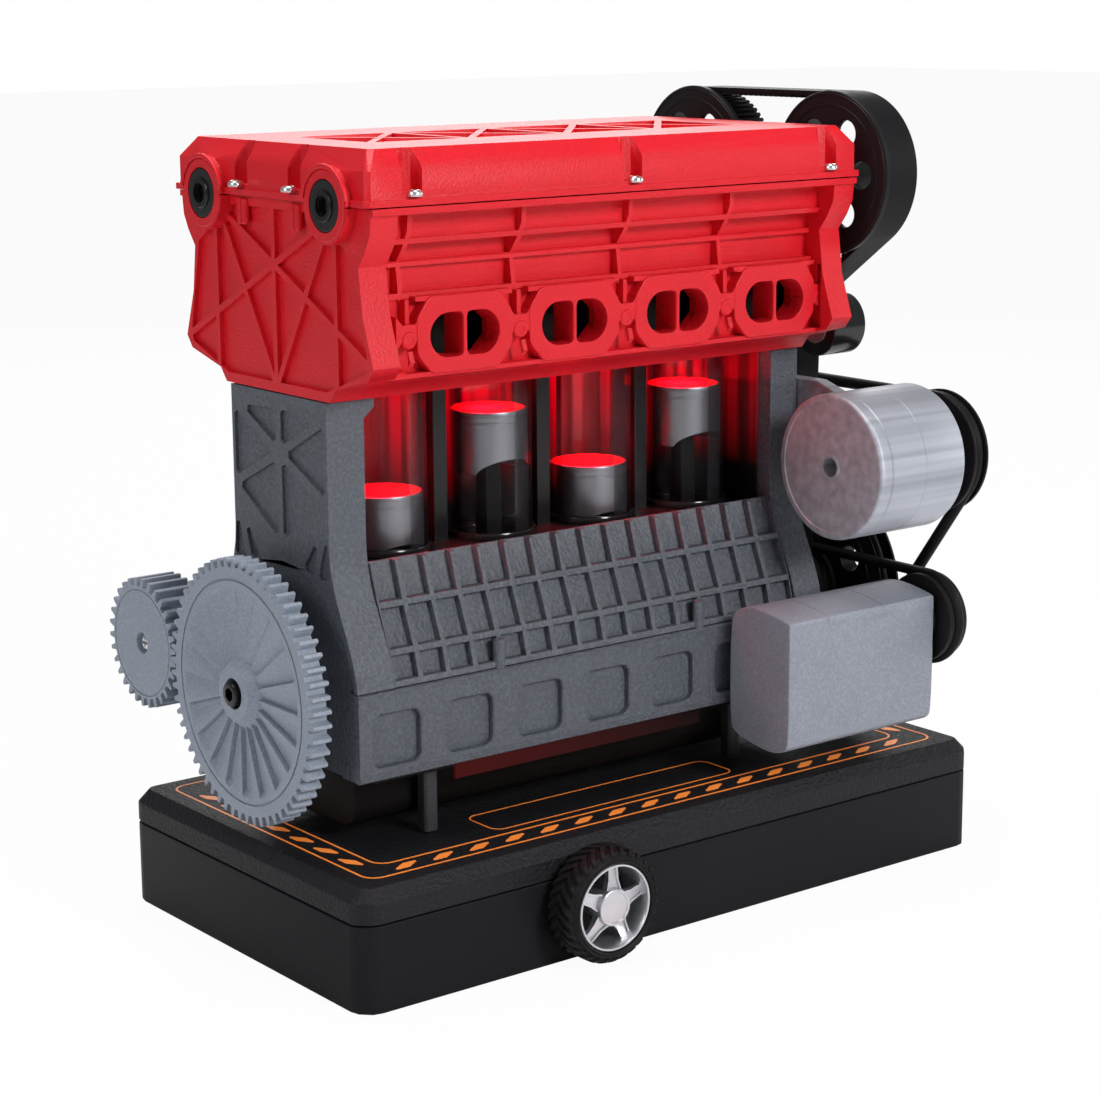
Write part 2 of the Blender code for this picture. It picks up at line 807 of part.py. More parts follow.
def make_sides():
    column = (inner_right - inner_left) / crankcase_columns
    half_rib = crankcase_rib / 2
    low = crankcase_bottom + crankcase_rib
    above = crankcase_top + overrun
    rows = {
        "front": (
            ((low, row_one - half_rib), crankcase_pocket_depth),
            ((row_one + half_rib, row_two - half_rib), crankcase_pocket_depth),
            ((row_two + half_rib, above), comb_depth),
        ),
        "rear": (((low, row_one, row_two, above), crankcase_pocket_depth),),
    }
    for name, side in (("front", -1), ("rear", 1)):
        mesh = bmesh.new()
        prism(mesh, crankcase_outline(side), "x", inner_left + gap, inner_right - gap)
        wall = piece("crankcase_" + name, mesh, "grey_plastic")
        mesh = bmesh.new()
        for levels, depth in rows[name]:
            for k in range(crankcase_columns):
                left = inner_left + k * column + half_rib
                prism(mesh, pocket_outline(side, levels, depth), "x", left, left + column - crankcase_rib)
        cut(wall, mesh)

        faces = sorted((engine_y + side * skirt_half, engine_y + side * (skirt_half - skirt_wall)))
        mesh = bmesh.new()
        length = block_right - block_left
        face = box_outline((block_middle, (skirt_bottom + skirt_top) / 2), length, skirt_height)
        prism(mesh, face, "y", *faces)
        skirt = piece("skirt_" + name, mesh, "grey_plastic")
        mesh = bmesh.new()
        depths = (engine_y + side * (skirt_half - skirt_panel_depth), engine_y + side * (skirt_half + overrun))
        for k in range(skirt_panel_count):
            x = block_middle + skirt_panel_shift + (k - (skirt_panel_count - 1) / 2) * skirt_panel_pitch
            z = skirt_bottom + skirt_panel_rise + skirt_panel_height / 2
            panel = box_outline((x, z), skirt_panel_width, skirt_panel_height)
            prism(mesh, rounded(panel, skirt_panel_round, 1), "y", *depths)
        cut(skirt, mesh)


def plate_half(z):
    """The end plates flare from the cylinders out to the crankcase in an S curve."""
    flare_low = crank_z + plate_flare_top - plate_flare_height
    share = min(1, max(0, (flare_low + plate_flare_height - z) / plate_flare_height))
    return plate_upper_half + (plate_lower_half - plate_upper_half) * (1 - cos(pi * share)) / 2


def plate_outline():
    lower = skirt_half - skirt_wall - gap
    flare_high = crank_z + plate_flare_top
    levels = [crankcase_bottom + (flare_high - crankcase_bottom) * k / 8 for k in range(9)]
    right = [(lower, skirt_bottom), (lower, crankcase_bottom)]
    right += [(plate_half(z), z) for z in levels] + [(plate_upper_half, sleeve_top)]
    left = [(-half, z) for half, z in reversed(right)]
    return [(engine_y + half, z) for half, z in right + left]


def make_end_plates():
    mesh = bmesh.new()
    prism(mesh, plate_outline(), "x", block_left, inner_left)
    plate = piece("end_plate_flywheel", mesh, "grey_plastic")
    flare_high = crank_z + plate_flare_top
    nodes = []
    for across, up in plate_node_shares:
        nodes.append((engine_y + across * plate_upper_half, flare_high + up * (sleeve_top - flare_high)))
    mesh = bmesh.new()
    for corners in plate_triangle_shares:
        pocket = drawn_in([nodes[k] for k in corners], truss_rib / 2)
        prism(mesh, rounded(pocket, truss_round, 1), "x", block_left - overrun, block_left + truss_depth)
    cut(plate, mesh)
    mesh = bmesh.new()
    rod_round(mesh, "x", crank_spot, housing_radius, block_left - overrun, block_left + housing_depth, fine_steps)
    cut(plate, mesh)
    mesh = bmesh.new()
    corner = [
        (inner_left - plate_gusset, sleeve_top - plate_gusset_height - plate_gusset),
        (inner_left + plate_gusset, sleeve_top - plate_gusset_height / 2),
        (inner_left + plate_gusset, sleeve_top), (inner_left - plate_gusset, sleeve_top),
    ]
    prism(mesh, corner, "y", engine_y - plate_upper_half, engine_y + plate_upper_half)
    join(plate, mesh)
    mesh = bmesh.new()
    rod_round(mesh, "x", crank_spot, journal_radius + gap, block_left - overrun, inner_left + overrun, small_steps)
    cut(plate, mesh)

    mesh = bmesh.new()
    prism(mesh, plate_outline(), "x", inner_right, block_right)
    plate = piece("end_plate_timing", mesh, "grey_plastic")
    mesh = bmesh.new()
    rod_round(mesh, "x", idler_spot, roller_pin_radius, block_right - overrun, accessory_far, small_steps)
    join(plate, mesh)
    mesh = bmesh.new()
    rod_round(mesh, "x", crank_spot, journal_radius + gap, inner_right - overrun, block_right + overrun, small_steps)
    cut(plate, mesh)


def make_deck():
    mesh = bmesh.new()
    prism(mesh, box_outline(((inner_left + inner_right) / 2, engine_y), inner_right - inner_left - 2 * gap,
                            2 * deck_half), "z", deck_bottom, deck_top)
    deck = piece("cylinder_deck", mesh, "black_plastic")
    mesh = bmesh.new()
    for left, right in zip(cylinder_x, cylinder_x[1:]):
        post = box_outline(((left + right) / 2, engine_y), post_side, post_side)
        prism(mesh, post, "z", deck_bottom + deck_thickness / 2, sleeve_top)
    join(deck, mesh)
    mesh = bmesh.new()
    for x in cylinder_x:
        rod_round(mesh, "z", (x, engine_y), bore_radius, deck_bottom - overrun, deck_top + overrun, round_steps)
    cut(deck, mesh)
    mesh = bmesh.new()
    tube_round(mesh, "z", (0, 0), bore_radius, sleeve_radius, sleeve_bottom, sleeve_top, round_steps)
    data = shape("sleeve", mesh)
    for i, x in enumerate(cylinder_x):
        placed(f"sleeve_{i + 1}", data, "clear_plastic", (x, engine_y, 0))


def head_flank():
    """Half widths and heights up the head's side, to the underside of its flange."""
    return [(across * head_half, head_bottom + up * head_height) for across, up in head_outline_shares]


def head_outline():
    """The head's cross section at its end plates."""
    right = head_flank()
    right += [(head_half, right[-1][1]), (head_half, head_top)]
    left = [(-half, z) for half, z in reversed(right)]
    return [(engine_y + half, z) for half, z in right + left]


def head_bays():
    """Left and right ends of the flank bays between the vertical ribs."""
    left, right = block_left + head_left_end, block_right - head_right_end
    ribs = [cylinder_x[0] - cylinder_pitch / 2 + k * cylinder_pitch for k in range(cylinder_count)]
    starts = [left] + [x + head_rib / 2 for x in ribs]
    ends = [x - head_rib / 2 for x in ribs] + [right]
    return list(zip(starts, ends))


def head_end_pockets():
    """Panels between the truss ribs of the end faces, clipped from one convex outline."""
    right = [(across * head_half, head_bottom + up * head_height) for across, up in head_panel_shares]
    left = [(-half, z) for half, z in reversed(right)]
    outlines = [[(engine_y + half, z) for half, z in right + left]]
    least = truss_least_share * head_half * head_height
    for start, end in head_truss_shares:
        ends = [(engine_y + across * head_half, head_bottom + up * head_height) for across, up in (start, end)]
        outlines = split(outlines, *ends, head_truss_rib, least)
    return outlines


def port_outlines(x):
    """The flange round two D-shaped holes."""
    base = head_bottom + port_top - port_height
    right = [(across * port_width / 2, up * port_height) for across, up in port_outline_shares]
    left = [(-across, up) for across, up in reversed(right[:-1])]
    flange = [(x + across, base + up) for across, up in right + left]
    holes = []
    z = base + port_hole_rise
    for side in (-1, 1):
        near, far = port_septum / 2, port_septum / 2 + port_hole_width
        top = z + port_hole_height
        corner = min(port_hole_round, port_hole_height / 2 - weld)
        outer = circle((far - corner, z + corner), corner, 1, -pi / 2, pi / 2)
        outer += circle((far - corner, top - corner), corner, 1, 0, pi / 2)
        hole = [(near, z)] + outer + [(near, top)]
        holes.append([(x + side * across, up) for across, up in hole])
    return flange, holes


def boss_outline(y, z, upper):
    """Half of a bearing boss, above or below the seam."""
    start, sweep = (0, pi) if upper else (pi, pi)
    return circle((y, z), cam_boss_radius, round_steps // 2, start, sweep)


def make_head():
    left_end, right_end = block_left + head_left_end, block_right - head_right_end
    mesh = bmesh.new()
    prism(mesh, head_outline(), "x", block_left, block_right)
    head = piece("cylinder_head", mesh, "red_plastic")

    flank = [(half - head_flank_recess, z) for half, z in head_flank()[2:]]
    outside = head_half + overrun
    flank = [(flank[0][0], head_bottom)] + flank + [(outside, flank[-1][1]), (outside, head_bottom)]
    mesh = bmesh.new()
    for side in (-1, 1):
        prism(mesh, [(engine_y + side * half, z) for half, z in flank], "x", left_end, right_end)
    cut(head, mesh)
    for side in (-1, 1):
        mesh = bmesh.new()
        rows = head_front_row_shares if side < 0 else head_rear_row_shares
        for low_share, high_share, floor_share in rows:
            low = head_bottom + low_share * head_height + head_rib / 2
            high = head_bottom + high_share * head_height - head_rib / 2
            depth = sorted((engine_y + side * floor_share * head_half, engine_y + side * (head_half + overrun)))
            for left, right in head_bays():
                bay = box_outline(((left + right) / 2, (low + high) / 2), right - left, high - low)
                prism(mesh, bay, "y", *depth)
        cut(head, mesh)
        mesh = bmesh.new()
        flange_depth = sorted((engine_y + side * rows[0][2] * (head_half - port_web), engine_y + side * port_half))
        for x in cylinder_x:
            prism(mesh, port_outlines(x)[0], "y", *flange_depth)
        join(head, mesh)

    mesh = bmesh.new()
    right = [(across * head_half, head_bottom + up * head_height) for across, up in head_cavity_shares]
    right.append((right[-1][0], head_top + overrun))
    outline = right + [(-half, z) for half, z in reversed(right)]
    prism(mesh, [(engine_y + half, z) for half, z in outline], "x", left_end, right_end)
    cut(head, mesh)

    cavity_half = head_cavity_shares[1][0] * head_half
    for side in (-1, 1):
        mesh = bmesh.new()
        depth = sorted((engine_y + side * (cavity_half - overrun), engine_y + side * (port_half + overrun)))
        for x in cylinder_x:
            for hole in port_outlines(x)[1]:
                prism(mesh, hole, "y", *depth)
        cut(head, mesh)

    cut(head, prisms(head_end_pockets(), "x", block_left - overrun, block_left + head_truss_depth))

    mesh = bmesh.new()
    for y in cam_y.values():
        lower = boss_outline(y, head_top, False)
        prism(mesh, lower, "x", block_left - cam_boss_length, block_left + head_left_end / 2)
        prism(mesh, lower, "x", block_right - head_right_end / 2, block_right + cam_boss_length)
    rod_round(mesh, "x", tensioner_spot, roller_pin_radius, block_right - overrun, pulley_far, small_steps)
    join(head, mesh)

    mesh = bmesh.new()
    for y in cam_y.values():
        ends = (block_left - cam_boss_length - overrun, block_right + cam_boss_length + overrun)
        rod_round(mesh, "x", (y, cam_z), cam_journal_radius + gap, *ends, round_steps)
    groove = box_outline(((lamp_left() + lamp_right()) / 2, engine_y), lamp_right() - lamp_left() + 2 * gap,
                         2 * (lamp_half + gap))
    prism(mesh, groove, "z", head_bottom - overrun, head_bottom + lamp_thickness + gap)
    cut(head, mesh)

    mesh = bmesh.new()
    strip = box_outline(((lamp_left() + lamp_right()) / 2, engine_y), lamp_right() - lamp_left(), 2 * lamp_half)
    prism(mesh, strip, "z", head_bottom, head_bottom + lamp_thickness)
    piece("lamp_strip", mesh, "lamp")


def lamp_left():
    return cylinder_x[0] - lamp_overhang


def lamp_right():
    return cylinder_x[-1] + lamp_overhang


def cover_outline(grow):
    left, right = block_left - cover_overhang, block_right + cover_overhang
    plan = box_outline(((left + right) / 2, engine_y), right - left + 2 * grow, 2 * (cover_half + grow))
    return rounded(plan, cover_corner, 1)


def slot_outline(place, outward):
    """A screw slot in a wall: half a round, open towards the outside."""
    centre = Vector(place) - Vector(outward) * (cover_slot_radius / 2)
    facing = atan2(outward[1], outward[0])
    points = circle(centre, cover_slot_radius, 4, facing + pi / 2, pi)
    reach = Vector(outward) * (cover_slot_radius + overrun)
    return points + [tuple(Vector(points[-1]) + reach), tuple(Vector(points[0]) + reach)]


def make_cover():
    wall_top = cover_top - cover_hip_height
    flange_top = cover_bottom + cover_flange_height
    levels = (
        (cover_bottom, cover_flange), (flange_top, cover_flange), (flange_top, 0), (wall_top, 0),
        (cover_top, -cover_hip_inset),
    )
    mesh = bmesh.new()
    loft(mesh, [[spot("z", flat, level) for flat in cover_outline(grow)] for level, grow in levels])
    cover = piece("valve_cover", mesh, "red_plastic")
    left_end, right_end = block_left + head_left_end, block_right - head_right_end

    mesh = bmesh.new()
    roof = cover_top - cover_panel_depth - cover_roof
    cavity = box_outline(((left_end + right_end) / 2, engine_y), right_end - left_end, 2 * (cover_half - cover_wall))
    prism(mesh, cavity, "z", cover_bottom - overrun, roof)
    cut(cover, mesh)

    mesh = bmesh.new()
    floor = cover_bottom + cover_slot_floor
    for side in (-1, 1):
        for k in (-1, 0, 1):
            x = block_middle + cover_screw_shift + k * cover_screw_pitch
            slot = slot_outline((x, engine_y + side * cover_half), (0, side))
            prism(mesh, slot, "z", floor, cover_top + overrun)
        for end, x in ((-1, block_left - cover_overhang), (1, block_right + cover_overhang)):
            slot = slot_outline((x, engine_y + side * cover_end_screw), (end, 0))
            prism(mesh, slot, "z", floor, cover_top + overrun)
    cut(cover, mesh)

    mesh = bmesh.new()
    bay = cover_panel_length / cover_panel_bays
    rib = cover_panel_rib / 2
    for k in range(cover_panel_bays):
        low = block_middle - cover_panel_length / 2 + k * bay
        corners = [(low, engine_y - cover_panel_half), (low + bay, engine_y - cover_panel_half),
                   (low + bay, engine_y + cover_panel_half), (low, engine_y + cover_panel_half)]
        middle = (low + bay / 2, engine_y)
        for i in range(4):
            pocket = drawn_in([corners[i - 1], corners[i], middle], rib)
            prism(mesh, pocket, "z", cover_top - cover_panel_depth, cover_top + overrun)
    cut(cover, mesh)

    mesh = bmesh.new()
    for y in cam_y.values():
        upper = boss_outline(y, cover_bottom, True)
        prism(mesh, upper, "x", block_left - cam_boss_length, block_left + head_left_end / 2)
        prism(mesh, upper, "x", block_right - head_right_end / 2, block_right + cam_boss_length)
    join(cover, mesh)
    mesh = bmesh.new()
    for y in cam_y.values():
        ends = (block_left - cam_boss_length - overrun, block_right + cam_boss_length + overrun)
        rod_round(mesh, "x", (y, cam_z), cam_journal_radius + gap, *ends, round_steps)
    cut(cover, mesh)


def make_camshafts():
    cap = block_left - cam_boss_length - cam_cap_proud
    journal_left, journal_right = block_left + head_left_end, block_right - head_right_end
    count = 10
    for name, y in cam_y.items():
        stations = [(cap, cam_journal_radius, 0, 0), (journal_left, cam_journal_radius, 0, 0)]
        stations.append((journal_left, cam_shaft_radius, 0, 0))
        for i, x in enumerate(cylinder_x):
            turn = -pi / 2 * (0, 1, 3, 2)[i % 4]
            stations.append((x - cam_lobe_half, cam_shaft_radius, 0, 0))
            stations.append((x - cam_lobe_half, cam_lobe_radius, cam_lobe_lift, turn))
            stations.append((x + cam_lobe_half, cam_lobe_radius, cam_lobe_lift, turn))
            stations.append((x + cam_lobe_half, cam_shaft_radius, 0, 0))
        stations.append((journal_right, cam_shaft_radius, 0, 0))
        stations.append((journal_right, cam_journal_radius, 0, 0))
        stations.append((block_right + cam_boss_length, cam_journal_radius, 0, 0))
        stations.append((block_right + cam_boss_length, cam_shaft_radius, 0, 0))
        stations.append((pulley_far, cam_shaft_radius, 0, 0))
        sections = []
        for x, radius, lift, turn in stations:
            section = []
            for k in range(count):
                angle = 2 * pi * k / count
                reach = radius + lift * max(0, cos(angle - turn))
                section.append(spot("x", (y + reach * cos(angle), cam_z + reach * sin(angle)), x))
            sections.append(section)
        mesh = bmesh.new()
        loft(mesh, sections)
        shaft = piece("camshaft_" + name, mesh, "black_plastic", (0, y, cam_z))
        mesh = bmesh.new()
        hexagon = circle((y, cam_z), cam_socket_width / 2, 6)
        prism(mesh, hexagon, "x", cap - overrun, cap + cam_socket_depth)
        cut(shaft, mesh)


def toothed_pulley(name, centre, teeth, holes, look):
    pitch_radius = teeth * belt_pitch / (2 * pi)
    tip = pitch_radius - tooth_top_drop
    mesh = bmesh.new()
    middle = tip - belt_tooth_height / 2
    top_half, root_half = belt_tooth_top_share * belt_pitch, belt_tooth_root_share * belt_pitch
    slope = (root_half - top_half) / belt_tooth_height
    half = (top_half + root_half) / 2
    rise = belt_tooth_height / 2
    drum = gear_outline(centre, teeth, middle, rise, rise, half, slope, 0) if holes else circle(centre, tip, round_steps)
    inset = pulley_flange / 2
    prism(mesh, drum, "x", pulley_near + inset, pulley_far - inset)
    pulley = piece(name, mesh, look, (0, *centre))
    rim = tip + gap + belt_thickness + gap
    mesh = bmesh.new()
    rod_round(mesh, "x", centre, rim, pulley_near, pulley_near + pulley_flange, fine_steps)
    join(pulley, mesh)
    mesh = bmesh.new()
    ends = (pulley_near - overrun, pulley_far + overrun)
    bore = (cam_shaft_radius if holes else journal_radius) + gap
    rod_round(mesh, "x", centre, bore, *ends, small_steps)
    if holes:
        for k in range(cam_hole_count):
            angle = 2 * pi * k / cam_hole_count
            place = (centre[0] + cam_hole_circle * cos(angle), centre[1] + cam_hole_circle * sin(angle))
            rod_round(mesh, "x", place, cam_hole_radius, *ends, tiny_steps)
    cut(pulley, mesh)


def make_timing_drive():
    for name, y in cam_y.items():
        toothed_pulley("cam_pulley_" + name, (y, cam_z), cam_teeth, True, "black_plastic")
    toothed_pulley("crank_timing_pulley", crank_spot, crank_teeth, False, "black_plastic")

    wheels = [
        (crank_spot, crank_pitch_radius), ((cam_y["rear"], cam_z), cam_pitch_radius),
        ((cam_y["front"], cam_z), cam_pitch_radius), (tensioner_spot, -(tensioner_radius + tooth_top_drop)),
    ]
    arc_step = 2 * pi / fine_steps
    inner = belt_path(wheels, arc_step, -belt_thickness / 2)
    outer = belt_path(wheels, arc_step, belt_thickness / 2)
    mesh = bmesh.new()
    loops = []
    for outline, x in ((inner, belt_near), (outer, belt_near), (outer, belt_far), (inner, belt_far)):
        loops.append([mesh.verts.new(spot("x", flat, x)) for flat in outline])
    for near, far in zip(loops, loops[1:] + loops[:1]):
        for i in range(len(near)):
            mesh.faces.new((near[i], near[i - 1], far[i - 1], far[i]))
    piece("timing_belt", mesh, "rubber")

    mesh = bmesh.new()
    roller_near = belt_near - (tensioner_width - belt_width) / 2
    roller_ends = (roller_near, roller_near + tensioner_width)
    bore = roller_pin_radius + gap
    tube_round(mesh, "x", tensioner_spot, bore, tensioner_radius, *roller_ends, round_steps)
    piece("tensioner_roller", mesh, "steel", (0, *tensioner_spot))


def crank_reach(angle, pin_turn):
    """A crank web's outline: a lobe round the pin, a hub and a counterweight opposite."""
    away = angle - pin_turn
    across = crank_radius * sin(away)
    reach = web_hub_radius
    if cos(away) > 0 and abs(across) < web_pin_lobe:
        reach = max(reach, crank_radius * cos(away) + sqrt(web_pin_lobe**2 - across**2))
    if cos(away) < -1 / 3:
        reach = counterweight_radius
    return reach


def make_crank():
    count = 14
    angles = [2 * pi * k / count + pi / 2 for k in range(count)]

    def section(x, pin_turn=None):
        points = []
        for angle in angles:
            reach = journal_radius if pin_turn is None else crank_reach(angle, pin_turn)
            points.append(spot("x", (engine_y + reach * cos(angle), crank_z + reach * sin(angle)), x))
        return points

    turns = [-pi / 2 if i % 2 == 0 else pi / 2 for i in range(cylinder_count)]
    far = web_start + web_thickness
    snout_left, snout_right = bolt_seat + gap, accessory_far + gap
    for i in range(cylinder_count + 1):
        stations = []
        if i == 0:
            stations += [section(snout_left)]
        else:
            x = cylinder_x[i - 1]
            stations += [section(x + web_start, turns[i - 1]), section(x + far, turns[i - 1]), section(x + far)]
        if i == cylinder_count:
            stations += [section(snout_right)]
        else:
            x = cylinder_x[i]
            stations += [section(x - far), section(x - far, turns[i]), section(x - web_start, turns[i])]
        mesh = bmesh.new()
        loft(mesh, stations)
        piece(f"crank_section_{i + 1}", mesh, "steel", (0, *crank_spot))

    inner_half = deck_half
    low_half = skirt_half - skirt_wall - gap
    points = (
        (low_half, skirt_bottom + overrun), (low_half, skirt_top - gap),
        (crankcase_low_half - crankcase_wall - gap, skirt_top),
        (crankcase_low_half - crankcase_wall - gap, crankcase_bottom),
        (crankcase_row_half - crankcase_wall - gap, row_one), (inner_half, deck_bottom - 2 * gap),
    )
    outline = [(engine_y + half, z) for half, z in points] + [(engine_y - half, z) for half, z in reversed(points)]
    for i in range(cylinder_count - 1):
        x = (cylinder_x[i] + cylinder_x[i + 1]) / 2
        ends = (x - bearing_web_thickness / 2, x + bearing_web_thickness / 2)
        mesh = bmesh.new()
        prism(mesh, outline, "x", *ends)
        web = piece(f"bearing_web_{i + 1}", mesh, "grey_plastic")
        mesh = bmesh.new()
        rod_round(mesh, "x", crank_spot, journal_radius + gap, ends[0] - overrun, ends[1] + overrun, small_steps)
        cut(web, mesh)


def make_pistons():
    crown, foot = piston_crown, piston_crown - piston_height
    profile = [(crown, 0), (crown, piston_radius)]
    for k in range(3):
        level = crown - ring_groove_first - k * ring_groove_pitch
        half = ring_groove_pitch / 4
        profile.append((level, piston_radius))
        profile.append((level - half, piston_radius - ring_groove_depth))
        profile.append((level - 2 * half, piston_radius))
    profile += [(foot, piston_radius), (foot, 0)]
    mesh = bmesh.new()
    turned(mesh, profile, "z", (0, 0), 14)
    pattern = piece("piston", mesh, "silver")
    mesh = bmesh.new()
    arch = circle((0, crown - piston_roof - skirt_arch_half), skirt_arch_half, 6, 0, pi)
    prism(mesh, [(arch[0][0], foot - overrun)] + arch + [(arch[-1][0], foot - overrun)], "y",
          -piston_radius - overrun, piston_radius + overrun)
    cut(pattern, mesh)
    mesh = bmesh.new()
    reach = (skirt_arch_half + piston_radius) / 2
    rod_round(mesh, "x", (0, 0), wrist_pin_radius, -reach, reach, tiny_steps)
    join(pattern, mesh)
    piston = settled(pattern)

    mesh = bmesh.new()
    big = circle((0, -rod_length), rod_big_end, 8, pi * 5 / 6, pi * 4 / 3)
    small = circle((0, 0), rod_small_end, 5, -pi / 6, pi * 4 / 3)
    low, high = rod_big_end - rod_length, -rod_small_end
    right = [(rod_shank_low, low), (rod_shank_high, high)]
    left = [(-rod_shank_high, high), (-rod_shank_low, low)]
    prism(mesh, big + right + small + left, "x", -rod_thickness / 2, rod_thickness / 2)
    pattern = piece("conrod", mesh, "black_plastic")
    mesh = bmesh.new()
    reach = web_start - gap
    rod_round(mesh, "x", (0, -rod_length), crankpin_radius, -reach, reach, tiny_steps)
    join(pattern, mesh)
    mesh = bmesh.new()
    side = rod_thickness / 2 + overrun
    rod_round(mesh, "x", (0, 0), wrist_pin_radius + gap, -side, side, tiny_steps)
    cut(pattern, mesh)
    rod = settled(pattern)

    for i, x in enumerate(cylinder_x):
        pin = crank_z + rod_length + (-crank_radius if i % 2 == 0 else crank_radius)
        placed(f"piston_{i + 1}", piston, "silver", (x, engine_y, pin))
        placed(f"conrod_{i + 1}", rod, "black_plastic", (x, engine_y, pin))


def make_flywheel():
    pitch_radius = gear_module * flywheel_teeth / 2
    line = atan2(pinion_spot[1] - crank_z, pinion_spot[0] - engine_y)
    sizes = [gear_module * share for share in (tooth_tip_share, tooth_root_share, tooth_half_share)]
    mesh = bmesh.new()
    teeth = gear_outline(crank_spot, flywheel_teeth, pitch_radius, *sizes, tooth_slope_share, line)
    prism(mesh, teeth, "x", flywheel_near, flywheel_far)
    wheel = piece("flywheel_gear", mesh, "gear_grey", (0, *crank_spot))
    mesh = bmesh.new()
    for k in range(fin_count):
        middle = 2 * pi * (k + 1 / 2) / fin_count
        near_half = pi / fin_count - asin(fin_thickness / 2 / fin_inner_radius)
        far_half = pi / fin_count - asin(fin_thickness / 2 / fin_outer_radius)
        pocket = circle(crank_spot, fin_inner_radius, 1, middle - near_half, 2 * near_half)
        pocket += circle(crank_spot, fin_outer_radius, 1, middle + far_half, -2 * far_half)
        prism(mesh, pocket, "x", flywheel_near - overrun, flywheel_near + fin_depth)
    cut(wheel, mesh)
    mesh = bmesh.new()
    low, high = flywheel_near - hub_rise, block_left - hub_collar_gap
    inside = flywheel_near + fin_depth + gap
    profile = (
        (low, 0), (low, hub_top_radius), (inside, hub_low_radius), (flywheel_far - gap, hub_low_radius),
        (flywheel_far - gap, hub_collar_radius), (high, hub_collar_radius), (high, 0),
    )
    turned(mesh, profile, "x", crank_spot, round_steps)
    join(wheel, mesh)
    mesh = bmesh.new()
    start, end = low - overrun, high + overrun
    bore = journal_radius + gap
    profile = (
        (start, 0), (start, bolt_hole_radius), (bolt_seat, bolt_hole_radius), (bolt_seat, bore), (end, bore), (end, 0),
    )
    turned(mesh, profile, "x", crank_spot, small_steps)
    cut(wheel, mesh)

    mesh = bmesh.new()
    head = low + gap
    rod_round(mesh, "x", crank_spot, bolt_hole_radius - gap, head, bolt_seat, small_steps)
    bolt = piece("flywheel_bolt", mesh, "black_plastic", (0, *crank_spot))
    mesh = bmesh.new()
    hexagon = circle(crank_spot, bolt_socket_width / 2, 6)
    prism(mesh, hexagon, "x", head - overrun, head + bolt_socket_depth)
    cut(bolt, mesh)

    mesh = bmesh.new()
    phase = line + pi + pi / pinion_teeth
    teeth = gear_outline(
        pinion_spot, pinion_teeth, gear_module * pinion_teeth / 2, *sizes, tooth_slope_share, phase
    )
    prism(mesh, teeth, "x", pinion_near, pinion_far)
    pinion = piece("starter_pinion", mesh, "gear_grey", (0, *pinion_spot))
    mesh = bmesh.new()
    rod_round(mesh, "x", pinion_spot, shaft_radius, pinion_far - overrun, motor_near + shaft_engagement, small_steps)
    join(pinion, mesh)
    mesh = bmesh.new()
    recess = (pinion_near - overrun, pinion_near + pinion_recess_depth)
    rod_round(mesh, "x", pinion_spot, pinion_recess_radius, *recess, small_steps)
    cut(pinion, mesh)

    mesh = bmesh.new()
    cap = motor_near + motor_length - motor_cap_length
    profile = (
        (motor_near, 0), (motor_near, motor_radius), (cap, motor_radius), (cap, motor_cap_radius),
        (cap + motor_cap_length, motor_cap_radius), (cap + motor_cap_length, 0),
    )
    turned(mesh, profile, "x", pinion_spot, round_steps)
    motor = piece("starter_motor", mesh, "black_plastic")
    mesh = bmesh.new()
    ear_top = min(skirt_top, pinion_spot[1]) - motor_ear_drop
    inner = engine_y + skirt_half + gap
    ear = box_outline(((inner + pinion_spot[0]) / 2, ear_top - motor_ear_height / 2), pinion_spot[0] - inner,
                      motor_ear_height)
    middle = (motor_near + cap) / 2
    prism(mesh, ear, "x", middle - motor_ear_length / 2, middle + motor_ear_length / 2)
    join(motor, mesh)
    mesh = bmesh.new()
    bore = (motor_near - overrun, motor_near + shaft_engagement + gap)
    rod_round(mesh, "x", pinion_spot, shaft_radius + gap, *bore, small_steps)
    cut(motor, mesh)


def grooved(near, far, belt_x, belt_radius, wire, rim):
    """Profile points of a pulley's rim, from its near face to its far face, with a groove for a round belt."""
    half = wire + gap
    floor = belt_radius - half
    return [(near, rim), (belt_x - half, rim), (belt_x - half, floor), (belt_x + half, floor), (belt_x + half, rim),
            (far, rim)]


